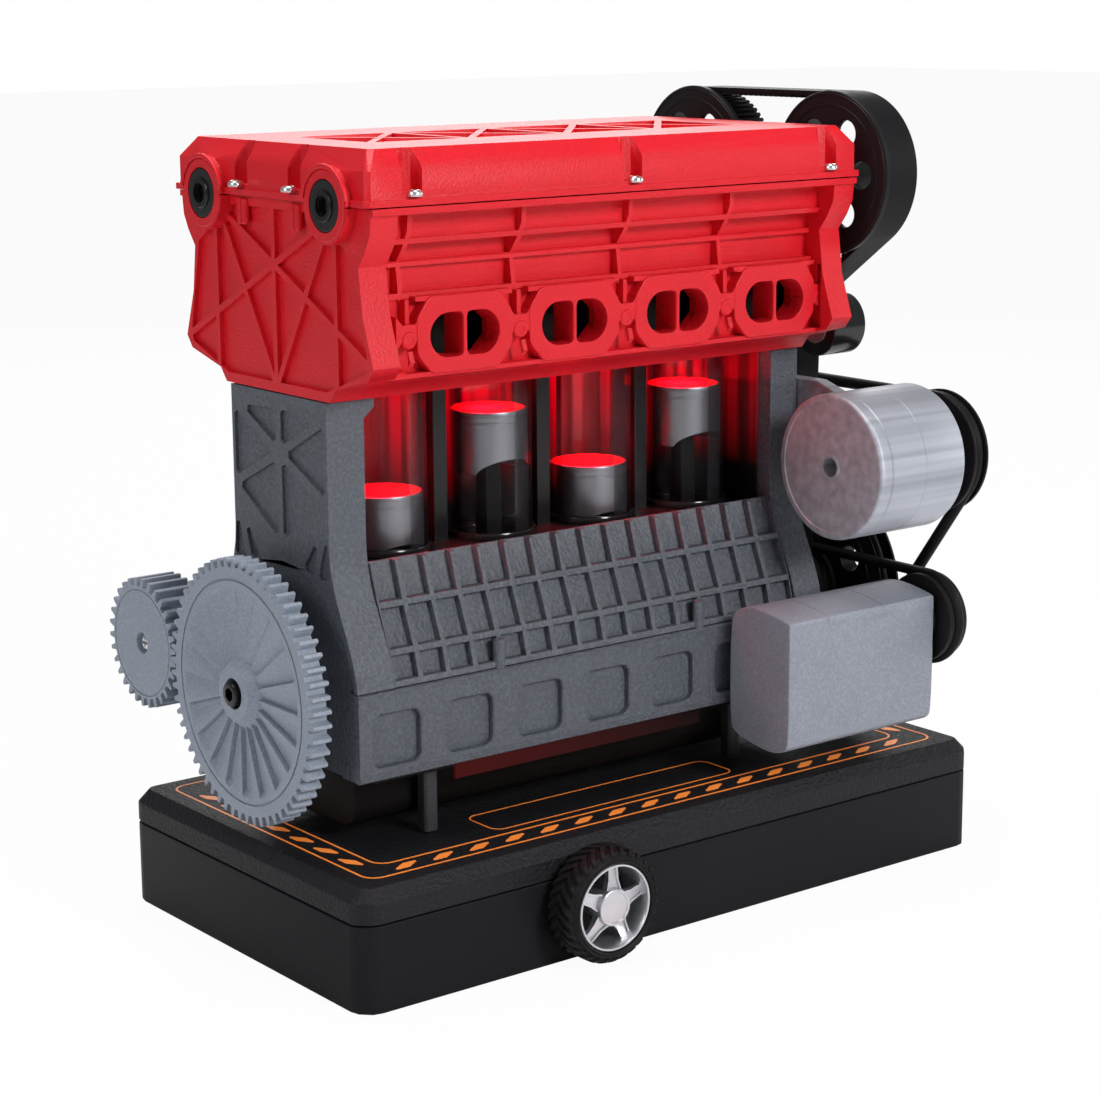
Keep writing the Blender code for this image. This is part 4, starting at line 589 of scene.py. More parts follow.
def copiesAlongPath(graph, take):
    # copies of the Pattern along a closed path, their Y axis along it, turned about X only
    line = graph.add("GeometryNodeMeshToCurve", {"Mesh": take("Geometry")})
    stops = graph.add("GeometryNodeResampleCurve", {"Curve": line, "Count": take("Count")})
    turn = graph.add("FunctionNodeAlignRotationToVector", {"Vector": graph.add("GeometryNodeInputTangent")},
                     {"axis": "Y", "pivot_axis": "X"})
    return copies(graph, stops, patternOf(graph, take), Rotation=turn)


def cordAlongPath(graph, take):
    # a round cord along a closed path
    line = graph.add("GeometryNodeMeshToCurve", {"Mesh": take("Geometry")})
    profile = graph.add("GeometryNodeCurvePrimitiveCircle",
                        {"Resolution": take("Sides"), "Radius": take("Radius")})
    return graph.add("GeometryNodeCurveToMesh", {"Curve": line, "Profile Curve": profile})


trees = {
    "ring": makeTree("ringOfCopies", {"Count": "Int", "Axis": "Vector", "Centre": "Vector"}, ringOfCopies),
    "row": makeTree("rowOfCopies", {"Count": "Int", "Step": "Vector"}, rowOfCopies),
    "spots": makeTree("copiesAtSpots", {"Pattern": "Object"}, copiesAtSpots),
    "path": makeTree("copiesAlongPath", {"Pattern": "Object", "Count": "Int"}, copiesAlongPath),
    "tube": makeTree("cordAlongPath", {"Radius": "Float", "Sides": "Int"}, cordAlongPath),
}


def grown(piece, treeName, paint, **inputs):
    # the tree run on the piece with these inputs, its result kept as a plain mesh
    modifier = piece.modifiers.new(treeName, "NODES")
    modifier.node_group = trees[treeName]
    inputs["Material"] = paints[paint]
    for socket in trees[treeName].interface.items_tree:
        if socket.in_out == "INPUT" and socket.name in inputs:
            modifier[socket.identifier] = inputs[socket.name]
    return shaded(baked(piece))


def aroundAxis(piece, axis, count, centre, paint):
    return grown(piece, "ring", paint, Count=count, Axis=spotOn(axis, 1, 0, 0),
                 Centre=spotOn(axis, 0, *centre))


def pathPiece(name, along, flats):
    # a closed line across the X axis
    data = bpy.data.meshes.new(name)
    count = len(flats)
    data.from_pydata([tuple(spotOn("x", along, *flat)) for flat in flats],
                     [(k, (k + 1) % count) for k in range(count)], [])
    return linked(name, data)


print("tools ready")


def centreOf(joint):
    place = next(row["pos_m"] for row in frame["joints"] if row["name"] == joint)
    return tuple(Vector(place)[index] for index in axes["x"][1:])


crankCentre = centreOf("crank_spin")
cams = {"front": centreOf("cam_front_spin"), "rear": centreOf("cam_rear_spin")}

# CAD nodes whose shape is right: their edges are rounded over by so many mm, and they are painted
dressed = (
    ("basePlastic", 0.45, ("base_tray",)), ("lidPlastic", 0.30, ("base_lid",)),
    ("blockPlastic", 0.24, ("skirt_rear", "crankcase_front", "crankcase_rear", "end_plate_flywheel",
                            "end_plate_timing", "bearing_web_1", "bearing_web_2", "bearing_web_3")),
    ("headPlastic", 0.26, ("cylinder_head",)), ("headPlastic", 0.34, ("valve_cover",)),
    ("rodPlastic", 0.30, ("cylinder_deck", "conrod_1", "conrod_2", "conrod_3", "conrod_4")),
    ("sumpPlastic", 0.30, ("oil_sump",)),
    ("legPlastic", 0.24, ("leg_front_left", "leg_front_right", "leg_rear_left", "leg_rear_right")),
    ("gearPlastic", 0.40, ("starter_motor",)),
)
for paint, width, nodes in dressed:
    for node in nodes:
        softened(node, paint, width * mm)
plain = {
    "crankSteel": [f"crank_section_{k}" for k in range(1, 6)],
    "pulleyPlastic": ["crank_timing_pulley", "speed_control"], "lampGlow": ["lamp_strip"],
}
for paint, nodes in plain.items():
    for node in nodes:
        data = frame["nodes"][node].data
        data.materials.clear()
        data.materials.append(paints[paint])
print("CAD nodes dressed")


# Base: the print on the lid, as a thin layer of ink
lidPrint = sizes(lift=0.02, ink=0.06, outer=7.0, line=0.55, band=7.0, corner=4.0, dashPitch=10.1,
                 dashLength=4.4, dashDepth=2.8, dashSlant=4.2, dashRound=0.4)
plaque = sizes(low=(-46, -33.3), high=(28, -20.6), corner=3.0, line=0.4)


def lineRound(low, high, corner, line):
    outer = rounded(boxOutline(*low, *high), corner)
    inner = rounded(boxOutline(low[0] + line, low[1] + line, high[0] - line, high[1] - line), corner - line)
    return [outer, inner]


def makeLidPrint():
    look = lidPrint
    low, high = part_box("base_lid")
    bottom = high.z + look["lift"]
    top = bottom + look["ink"]
    corner, line = look["corner"], look["line"]
    lines = [lineRound((low.x + depth, low.y + depth), (high.x - depth, high.y - depth), corner, line)
             for depth in (look["outer"], look["outer"] + look["band"])]
    lines.append(lineRound(**plaque))
    slabs("lid_lines", "orangeInk", "engine", "z", [(outlines, bottom, top) for outlines in lines])

    middle, pitch = look["outer"] + (look["band"] + look["line"]) / 2, look["dashPitch"]
    half, deep, slant = look["dashLength"] / 2, look["dashDepth"] / 2, look["dashSlant"] / 2
    for name, across, side in (("front", 0, -1), ("rear", 0, 1), ("left", 1, -1), ("right", 1, 1)):
        # a row of slanting dashes along one side of the lid
        reach = (high - low)[across] / 2 - middle - pitch * 0.45
        count = int(2 * reach / pitch) + 1
        start = -(count - 1) / 2 * pitch
        edge = (high.y if across == 0 else high.x) - middle
        place, step = (start, side * edge), Vector((pitch, 0, 0))
        outline = [(-half - slant, -deep), (half - slant, -deep), (half + slant, deep), (-half + slant, deep)]
        if across:
            place, step = (side * edge, start), Vector((0, pitch, 0))
            outline = [(-second, first) for first, second in outline]
        corners = rounded(outline, look["dashRound"], 3)
        flats = [(first + place[0], second + place[1]) for first, second in corners]
        dashes = made("lid_dashes_" + name, flatMesh("z", [([flats], bottom, top)]), "orangeInk")
        riding(grown(dashes, "row", "orangeInk", Count=count, Step=step), "engine")


makeLidPrint()
print("lid print")


# Speed knob: a small road wheel
tyre = {**sizes(treadWidth=1.35, treadHeight=0.75, treadHalf=4.3, bead=0.5, round=0.9, gap=0.1),
        "treads": 30, "treadSweep": 15, "treadSteps": 6}
wheel = {**sizes(hubHalf=2.1, rimHalf=1.3, spokeDeep=1.6, rib=0.45, ribEdge=0.1, lip=0.95, hub=4.45, wall=0.5,
                 dish=1.3, inset=1.5, back=0.4), "spokes": 5, "spokeTurn": 12}


def middleOf(low, high, *letters):
    return tuple((getattr(low, letter) + getattr(high, letter)) / 2 for letter in letters)


def makeTyre():
    low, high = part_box("knob_tyre")
    rimLow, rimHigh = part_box("knob_rim")
    centre, front, back, bead = middleOf(low, high, "z", "x"), low.y, high.y, tyre["bead"]
    outside, rim = (high.x - low.x) / 2, (rimHigh.x - rimLow.x) / 2
    base, seat = outside - tyre["treadHeight"], rim + tyre["gap"]
    profile = [(back - bead, rim + bead), (back, rim + 2 * bead), (back - bead, base - 2 * bead),
               (back - 3 * bead, base), (front + 3 * bead, base), (front + bead, base - 2 * bead),
               (front, rim + 2.4 * bead), (front + bead / 2, rim + 1.4 * bead), (front, rim + 0.9 * bead),
               (front + bead / 2, seat), (front + 3 * bead, seat), (back - bead, seat)]
    turned("tyre_carcass", "tyreRubber", "speed_knob", "y", [(centre, profile, 120)], ("knob_tyre",), 40)
    mesh = bmesh.new()
    for side in (-1, 1):
        # one arm of a herringbone lug, from the middle of the tread to its shoulder
        rows = []
        for step in range(tyre["treadSteps"] + 1):
            share = step / tyre["treadSteps"]
            along = (front + back) / 2 + side * tyre["treadHalf"] * share
            turn = -radians(tyre["treadSweep"]) * share**0.85
            top = outside - tyre["round"] * max(0, share - 0.75) * 4
            half = tyre["treadWidth"] / 2 / outside * (1 - 0.25 * share)
            corners = ((base - bead, -half * 1.25), (top, -half), (top, half), (base - bead, half * 1.25))
            rows.append(loop(mesh, "y", along, [polar(radius, turn + offset) for radius, offset in corners]))
        lofted(mesh, rows, True)
    tread = aroundAxis(made("tyre_tread", mesh, "tyreRubber", 25), "y", tyre["treads"], centre, "tyreRubber")
    riding(tread, "speed_knob")


def makeWheel():
    low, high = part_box("knob_rim")
    centre = middleOf(*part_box("knob_tyre"), "z", "x")
    rim, face, end = (high.x - low.x) / 2, low.y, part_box("knob_tyre")[1].y - wheel["inset"]
    lip, wall, hub = wheel["lip"], wheel["wall"], wheel["hub"]
    profile = [(face + 0.35 * mm, rim), (face, rim - lip * 0.35), (face, rim - lip * 0.75),
               (face + 0.5 * mm, rim - lip), (face + 3.2 * mm, rim - lip - wall), (end, rim - lip - 2 * wall),
               (end, rim)]
    turned("rim_barrel", "rimSilver", "speed_knob", "y", [(centre, profile, 120)], ("knob_rim",))
    backPlate = rod(end - wheel["back"], high.y, rim - tyre["gap"])
    turned("rim_back", "tyreRubber", "speed_knob", "y", [(centre, backPlate, 48)])
    profile = [(end, 0), (end, hub * 0.8), (face + 2.6 * mm, hub), (face + wheel["dish"] * 0.5, hub),
               (face + 0.15 * mm, hub - 0.15 * mm), (face, hub - 0.4 * mm), (face, hub - 0.8 * mm),
               (face + 0.25 * mm, hub - 0.95 * mm), (face + 0.1 * mm, hub * 0.5), (face + 0.05 * mm, 0)]
    turned("hub_cap", "rimSilver", "speed_knob", "y", [(centre, profile, 72)])

    mesh = bmesh.new()
    rows = []
    edge, rise = wheel["ribEdge"], wheel["rib"]
    for radius, half, lift in ((hub * 0.9, wheel["hubHalf"], -0.2 * mm),
                               (hub * 1.35, wheel["rimHalf"] * 1.15, 0.25 * mm),
                               (rim - lip * 0.8, wheel["rimHalf"], 0.9 * mm)):
        rib, top, deep = half - rise, face + wheel["dish"] + lift, face + wheel["dish"] + wheel["spokeDeep"]
        rows.append([mesh.verts.new(spotOn("y", along, second, radius)) for second, along in (
            (-half, deep), (-half, top), (-rib, top), (-rib + edge, top + rise), (rib - edge, top + rise),
            (rib, top), (half, top), (half, deep))])
    lofted(mesh, rows, True)
    # the spoke is drawn along X and turned to its first place before it is copied
    bmesh.ops.rotate(mesh, verts=mesh.verts, matrix=Matrix.Rotation(-radians(wheel["spokeTurn"]), 3, "Y"))
    spokes = made("rim_spokes", mesh, "rimSilver")
    riding(aroundAxis(spokes, "y", wheel["spokes"], centre, "rimSilver"), "speed_knob")


makeTyre()
makeWheel()
print("speed knob")


# Gears: a sector with its teeth is copied round the axle
gearTooth = {**sizes(module=1.0, tip=0.85, root=1.30, half=0.62, round=0.15), "slope": 0.25}
flywheel = {**sizes(inside=8.0, finEnd=24.4, finFade=1.4, finDepth=1.30, groove=25.9, grooveHalf=0.22,
                    grooveDepth=0.4, rim=28.0, gap=0.2, thick=4.8, screwProud=1.4, screwAcross=3.4,
                    screwDeep=2.0),
            "teeth": 60, "sectors": 20}
pinion = {**sizes(inside=2.6, groove=12.9, grooveHalf=0.15, grooveDepth=0.25, rim=13.3, thick=10.5, screw=2.1,
                  screwHigh=1.0, screwAt=1.6, shaftAt=2.0, shaft=2.5), "teeth": 30, "sectors": 30}


def gearSector(look, near, far, phase):
    mesh = bmesh.new()
    pitch = gearTooth["module"] * look["teeth"] / 2
    perSector = look["teeth"] // look["sectors"]
    columns = 4 * perSector
    sweep = 2 * pi / look["sectors"]
    toothSweep = sweep / perSector
    start = phase - toothSweep / 2
    groove, half, sunk = look["groove"], look["grooveHalf"], near + look["grooveDepth"]

    def rows(share):
        floor = near + look.get("finDepth", 0) * share
        fins = [(look["finEnd"] - look["finFade"], floor), (look["finEnd"], near)] if "finEnd" in look else []
        return [(look["rim"], far), (look["inside"], far), (look["inside"], floor)] + fins + [
            (groove - half, near), (groove - half, sunk), (groove + half, sunk), (groove + half, near),
            (look["rim"], near)]

    def corners(turn, points):
        return [mesh.verts.new(spotOn("x", along, *polar(radius, turn))) for radius, along in points]

    shares = [column / columns for column in range(columns + 1)]
    grid = [corners(start + sweep * share, rows(share)) for share in shares]
    for left, right in zip(grid, grid[1:]):
        for k in range(len(left) - 1):
            mesh.faces.new((left[k], left[k + 1], right[k + 1], right[k]))
    if "finEnd" in look:
        flush = corners(start + sweep, rows(0)[2:4])
        mesh.faces.new((grid[-1][2], grid[-1][3], grid[-1][4], flush[1], flush[0]))
    rootHalf = (gearTooth["half"] + gearTooth["root"] * gearTooth["slope"]) / pitch
    tipHalf = (gearTooth["half"] - gearTooth["tip"] * gearTooth["slope"]) / pitch
    low, high = pitch - gearTooth["root"], pitch + gearTooth["tip"]
    shoulder = high - gearTooth["round"]
    for tooth in range(perSector):
        middle = phase + toothSweep * tooth
        flats = [(low, -toothSweep / 2), (low, -rootHalf), (shoulder, -tipHalf * 1.15),
                 (high, -tipHalf * 0.7), (high, tipHalf * 0.7), (shoulder, tipHalf * 1.15), (low, rootHalf),
                 (low, toothSweep / 2)]
        sides = []
        for along, row in ((near, -1), (far, 0)):
            outer = loop(mesh, "x", along, [polar(radius, middle + turn) for radius, turn in flats])
            inner = [grid[column][row] for column in range(4 * tooth, 4 * tooth + 5)]
            mesh.faces.new(outer + inner[::-1])
            sides.append(outer)
        for k in range(len(flats) - 1):
            mesh.faces.new((sides[0][k], sides[0][k + 1], sides[1][k + 1], sides[1][k]))
    return mesh


def gearWheel(name, look, centre, near, far, phase, body, node):
    gear = made(name, gearSector(look, near, far, phase), "gearPlastic")
    aroundAxis(gear, "x", look["sectors"], centre, "gearPlastic")
    mesh = bmesh.new()
    mesh.from_mesh(gear.data)
    bmesh.ops.remove_doubles(mesh, verts=mesh.verts, dist=0.003 * mm)
    bmesh.ops.recalc_face_normals(mesh, faces=mesh.faces)
    mesh.to_mesh(gear.data)
    mesh.free()
    riding(bevelled(gear, 0.14 * mm), body, (node,))


def hexSocket(piece, centre, near, across, deep):
    return carved(piece, "x", [([ring(centre, across / 2, 6, pi / 6)], near - mm, near + deep)])


def crossScrew(name, radius, high):
    # a pan head with a cross recess, at the origin and facing +Z; it is a pattern for copies
    profile = [(-0.4 * mm, 0), (-0.4 * mm, radius * 0.98), (0, radius), (high * 0.45, radius * 0.97),
               (high * 0.78, radius * 0.82), (high * 0.95, radius * 0.5), (high, 0)]
    screw = lathed(name, "screwSteel", "z", [((0, 0), profile, 28)], 40)
    arm, slit = radius * 0.62, radius * 0.13
    cross = [(arm, -slit), (arm, slit), (slit, slit), (slit, arm), (-slit, arm), (-slit, slit), (-arm, slit),
             (-arm, -slit), (-slit, -slit), (-slit, -arm), (slit, -arm), (slit, -slit)]
    return carved(screw, "z", [([cross], high * 0.35, high * 2)])


def sown(name, pattern, places, turns, body):
    # the pattern copied to each place, turned by Euler angles, after which it goes
    data = bpy.data.meshes.new(name)
    data.from_pydata([tuple(place) for place in places], [], [])
    attribute = data.attributes.new("turn", "FLOAT_VECTOR", "POINT")
    for value, turn in zip(attribute.data, turns):
        value.vector = turn
    piece = grown(linked(name, data), "spots", "screwSteel", Pattern=pattern)
    bpy.data.objects.remove(pattern)
    riding(piece, body, slot="shaft_steel")


def makeFlywheel(line):
    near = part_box("starter_pinion")[0].x - flywheel["gap"]
    far = near + flywheel["thick"]
    gearWheel("flywheel_disc", flywheel, crankCentre, near, far, line, "crankshaft", "flywheel_gear")
    low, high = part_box("flywheel_gear")
    back = far + flywheel["gap"]
    profile = [(back, 9.4 * mm), (near + 1.9 * mm, 9.4 * mm), (low.x + 0.3 * mm, 6.5 * mm), (low.x, 6.2 * mm),
               (low.x, 3.6 * mm), (low.x + 3.9 * mm, 3.6 * mm), (high.x, 4.4 * mm), (high.x, 7.0 * mm),
               (back, 7.0 * mm)]
    turned("flywheel_hub", "gearPlastic", "crankshaft", "x", [(crankCentre, profile, 96)])
    low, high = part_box("flywheel_bolt")
    near, radius = low.x - flywheel["screwProud"], (high.y - low.y) / 2 - 0.3 * mm
    edge = 0.12 * radius
    profile = [(near, 0), (near, radius - edge), (near + edge * 0.4, radius - edge * 0.25),
               (near + edge, radius), (high.x, radius), (high.x, 0)]
    screw = lathed("flywheel_screw", "boltSteel", "x", [(crankCentre, profile, 72)])
    hexSocket(screw, crankCentre, near, flywheel["screwAcross"], flywheel["screwDeep"])
    riding(screw, "crankshaft", ("flywheel_bolt",))


def makePinion(line, centre):
    low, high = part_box("starter_pinion")
    far, inside = low.x + pinion["thick"], pinion["inside"] - 0.02 * mm
    gearWheel("pinion_wheel", pinion, centre, low.x, far, line + pi + pi / pinion["teeth"], "starter",
              "starter_pinion")
    start = low.x + pinion["shaftAt"]
    profile = [(start, 0), (start, inside), (far, inside), (high.x, pinion["shaft"]), (high.x, 0)]
    turned("pinion_shaft", "crankSteel", "starter", "x", [(centre, profile, 48)])
    screw = crossScrew("pinionScrewPattern", pinion["screw"], pinion["screwHigh"])
    sown("pinion_screw", screw, [(low.x + pinion["screwAt"], *centre)], [(0, -pi / 2, 0)], "starter")


pinionCentre = centreOf("starter_spin")
meshLine = atan2(pinionCentre[1] - crankCentre[1], pinionCentre[0] - crankCentre[0])
makeFlywheel(meshLine)
makePinion(meshLine, pinionCentre)
print("gears")


# Cylinders: black collars, clear sleeves, silver pistons with ring grooves and a cut-away skirt
cylinder = {**sizes(collarHigh=1.5, collarWide=0.85, groove=0.22, grooveDeep=0.22, grooves=(1.1, 2.3, 2.75),
                    edge=0.3, archHalf=7.6, archHigh=3.6, wall=1.2, roof=4.0, pin=2.0, pinDrop=9.0, sink=0.1,
                    proud=0.04, sleeveGap=0.3, collarGap=0.05), "glowShare": 0.93, "pinShare": 0.86}


def pistonProfile(radius, foot, crown):
    edge, half, wall = cylinder["edge"], cylinder["groove"] / 2, radius - cylinder["wall"]
    roof, floor = crown - cylinder["roof"], radius - cylinder["grooveDeep"]
    profile = [(roof, 0), (roof, wall), (foot, wall), (foot, radius - edge), (foot + edge, radius)]
    for drop in reversed(cylinder["grooves"]):
        profile += [(crown - drop - half, radius), (crown - drop - half, floor), (crown - drop + half, floor),
                    (crown - drop + half, radius)]
    return profile + [(crown - edge, radius), (crown - edge * 0.3, radius - edge * 0.3),
                      (crown, radius - edge), (crown, 0)]


def makeCylinder(number):
    look, body = cylinder, f"piston_{number}"
    low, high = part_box(body)
    centre = middleOf(low, high, "x", "y")
    radius, foot, crown = (high.x - low.x) / 2, low.z, high.z
    piston = lathed(body + "_body", "pistonMetal", "z", [(centre, pistonProfile(radius, foot, crown), 128)])
    arch = [(foot + look["archHigh"] * up, centre[0] + look["archHalf"] * across)
            for up, across in ring((0, 0), 1, 40, -pi / 2, pi)]
    arch = [(foot - mm, arch[0][1])] + arch + [(foot - mm, arch[-1][1])]
    riding(carved(piston, "y", [([arch], low.y - mm, high.y + mm)]), body, (body,))
    reach = radius * look["pinShare"]
    pin = rod(centre[0] - reach, centre[0] + reach, look["pin"])
    turned(f"wrist_pin_{number}", "crankSteel", body, "x", [((centre[1], crown - look["pinDrop"]), pin, 32)])
    # a disc on the crown with the red lamps' light painted on as emission
    lid = rod(crown - look["sink"], crown + look["proud"], radius * look["glowShare"])
    turned(f"crown_{number}", "crownGlow", body, "z", [(centre, lid, 96)])

    low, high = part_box(f"sleeve_{number}")
    outer, top = (high.x - low.x) / 2, low.z + look["collarHigh"]
    clear = tube(low.z, high.z, radius + look["sleeveGap"], outer)
    turned(f"sleeve_{number}_tube", "clearPlastic", "engine", "z", [(centre, clear, 128)],
           (f"sleeve_{number}",))
    wide, bore = outer + look["collarWide"], outer + look["collarGap"]
    profile = [(low.z, bore), (low.z, wide), (top - 0.5 * mm, wide), (top - 0.15 * mm, wide - 0.15 * mm),
               (top, wide - 0.5 * mm), (top, bore)]
    turned(f"collar_{number}", "glossPlastic", "engine", "z", [(centre, profile, 96)])


for number in range(1, 5):
    makeCylinder(number)
print("cylinders")


# Toothed belt, its pulleys and rollers
belt = sizes(pitch=1.875, thick=1.2, tooth=0.75, near=64.6, far=73.6, topHalf=0.37, rootHalf=0.56, gap=0.3)
camPulley = {**sizes(hollow=15.6, hole=3.3, circle=11.2, bore=3.8, rim=20.0, near=62.8, flange=1.5, cut=0.25,
                     far=74.65, lines=(19.2, 16.6), lineHalf=0.225, proud=0.16, hub=5.6, hubWall=0.6,
                     hubProud=0.9, hubEdge=0.3),
             "teeth": 64, "holes": 6}
crankTeeth = 32


def beltPath(wheels, step, offset=0.0):
    # the centre line of a belt round (centre, signed radius) wheels, the radius negative where it bends back
    headings = []
    for (start, near), (end, far) in zip(wheels, wheels[1:] + wheels[:1]):
        run = Vector(end) - Vector(start)
        headings.append(atan2(run.y, run.x) + asin((near - far) / run.length))
    points = []
    for k, (centre, radius) in enumerate(wheels):
        sweep = (headings[k] - headings[k - 1]) % (2 * pi)
        if radius < 0:
            sweep -= 2 * pi
        parts = max(1, ceil(abs(sweep) / step))
        for part in range(parts + 1):
            turn = headings[k - 1] + sweep * part / parts
            reach = radius + offset
            points.append((centre[0] + reach * sin(turn), centre[1] - reach * cos(turn)))
    return points


def pitchRadius(teeth):
    return teeth * belt["pitch"] / (2 * pi)


def toothedOutline(centre, teeth):
    # tooth tips lie a gap under the belt's inner face
    tip = pitchRadius(teeth) - belt["thick"] / 2 - belt["gap"]
    root = tip - belt["tooth"] - 0.1 * mm
    top, low = (belt["pitch"] / 2 - belt["rootHalf"]) / tip, (belt["pitch"] / 2 - belt["topHalf"]) / root
    return [polar(radius, 2 * pi * k / teeth + turn, centre) for k in range(teeth)
            for radius, turn in ((root, -low), (tip, -top), (tip, top), (root, low))]


def ridge(near, radius, half, topHalf, proud):
    # a raised line round a disc's near face
    foot = near + 0.1 * mm
    return [(foot, radius - half), (near - proud, radius - topHalf), (near - proud, radius + topHalf),
            (foot, radius + half)]


def makeCamPulley(name, centre):
    look, body, near = camPulley, "cam_" + name, camPulley["near"]
    holes = [ring(polar(look["circle"], k * pi / 3, centre), look["hole"], 40) for k in range(look["holes"])]
    mesh = bmesh.new()
    chamfered(mesh, "x", ring(centre, look["rim"], 144), [ring(centre, look["bore"], 40)] + holes, near,
              near + look["flange"], look["cut"])
    riding(made(f"cam_flange_{name}", mesh, "pulleyPlastic"), body, ("cam_pulley_" + name,))
    start, end = near + look["flange"], look["far"]
    drum = [toothedOutline(centre, look["teeth"]), ring(centre, look["hollow"], 96)]
    slabs(f"cam_drum_{name}", "pulleyPlastic", body, "x", [(drum, start, end)])
    bore, hub, face = look["bore"], look["hub"], near - look["hubProud"]
    profile = tube(start - 0.1 * mm, end, bore + 0.02 * mm, hub + look["hubWall"])
    turned(f"cam_hub_{name}", "pulleyPlastic", body, "x", [(centre, profile, 72)])
    lines = [(centre, ridge(near, radius, look["lineHalf"], look["lineHalf"] * 0.4, look["proud"]), 120)
             for radius in look["lines"]]
    boss = [(near + 0.1 * mm, bore + 0.05 * mm), (face, bore + 0.05 * mm), (face, hub - look["hubEdge"]),
            (face + look["hubEdge"], hub), (near + 0.1 * mm, hub)]
    turned(f"cam_pulley_lines_{name}", "pulleyPlastic", body, "x", lines + [(centre, boss, 72)])


def makeToothedBelt():
    low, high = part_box("tensioner_roller")
    camRadius, bend = pitchRadius(camPulley["teeth"]), (high.z - low.z) / 2 + belt["thick"] / 2 + belt["gap"]
    wheels = [(crankCentre, pitchRadius(crankTeeth)), (cams["rear"], camRadius), (cams["front"], camRadius),
              (centreOf("tensioner_spin"), -bend)]
    mesh = bmesh.new()
    outer, inner = (beltPath(wheels, radians(2.5), side * belt["thick"] / 2) for side in (1, -1))
    rows = [loop(mesh, "x", along, outline) for outline, along in (
        (inner, belt["near"]), (outer, belt["near"]), (outer, belt["far"]), (inner, belt["far"]))]
    lofted(mesh, rows + rows[:1])
    riding(bevelled(made("toothed_belt_band", mesh, "beltRubber"), 0.15 * mm), "engine", ("timing_belt",))

    path = beltPath(wheels, radians(1.0))
    groove = pi / camPulley["teeth"]

    def offGroove(flat):
        arm = Vector(flat) - Vector(cams["front"])
        onWheel = abs(arm.length - camRadius) < 0.01 * mm
        return abs(atan2(arm.y, arm.x) % (2 * groove) - groove) + (0 if onWheel else 9)

    # the teeth start in a groove of the front cam pulley
    first = min(range(len(path)), key=lambda k: offGroove(path[k]))
    path = path[first:] + path[:first]
    length = sum((Vector(path[k]) - Vector(path[k - 1])).length for k in range(len(path)))
    teeth = pathPiece("belt_teeth", (belt["near"] + belt["far"]) / 2, path)
    half = (belt["far"] - belt["near"]) / 2 - 0.1 * mm
    start, end = belt["thick"] / 2 - 0.1 * mm, belt["thick"] / 2 + belt["tooth"] - 0.1 * mm
    top, root = belt["topHalf"] * 0.9, belt["rootHalf"] * 0.9
    tooth = [(-root, start), (root, start), (top, end), (-top, end)]
    pattern = made("toothPattern", flatMesh("x", [([tooth], -half, half)]), "beltRubber")
    grown(teeth, "path", "beltRubber", Pattern=pattern, Count=round(length / belt["pitch"]))
    riding(teeth, "engine", slot="belt_rubber")
    bpy.data.objects.remove(pattern)


tensioner = sizes(bore=2.0, edge=0.3, washer=4.4, washerBore=2.05, washerEdge=0.1)


def makeTensioner():
    low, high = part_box("tensioner_roller")
    centre, bore, edge = centreOf("tensioner_spin"), tensioner["bore"], tensioner["edge"]
    near, far, outer = low.x, high.x, (high.z - low.z) / 2
    profile = [(near, bore), (near, outer - edge), (near + edge, outer), (far - edge, outer),
               (far, outer - edge), (far, bore)]
    turned("tensioner_wheel", "glossPlastic", "tensioner", "x", [(centre, profile, 96)],
           ("tensioner_roller",))
    bore, washer, back = tensioner["washerBore"], tensioner["washer"], near + 0.2 * mm
    profile = [(near - 0.15 * mm, bore), (near - 0.15 * mm, washer - tensioner["washerEdge"]),
               (near - 0.02 * mm, washer), (back, washer), (back, bore)]
    turned("tensioner_face", "crankSteel", "tensioner", "x", [(centre, profile, 64)])


def grooveProfile(near, far, beltAt, beltRadius, wire, rim):
    # a pulley's rim with a round-bottomed groove for a round belt
    half, edge = wire + 0.15 * mm, 0.25 * mm
    floor = [(beltAt - half * cos(pi * k / 8), beltRadius - half * sin(pi * k / 8)) for k in range(1, 8)]
    return [(near, rim - edge), (near + edge, rim), (beltAt - half, rim)] + floor + [
        (beltAt + half, rim), (far - edge, rim), (far, rim - edge)]


pulleys = {**sizes(near=81.9, smallNear=76.0, belt=84.4, smallBelt=79.0, wire=1.5, smallWire=1.3, large=24.9,
                   small=10.9, rim=29.5, smallRim=11.1, hole=3.4, circle=18.0, idler=9.0, idlerRim=10.8,
                   idlerBore=2.3, alternator=13.6, alternatorRim=15.4, bore=4.1, lines=(27.9, 23.3),
                   lineHalf=0.2, proud=0.15, shaft=2.45, hub=6.0), "holes": 6}


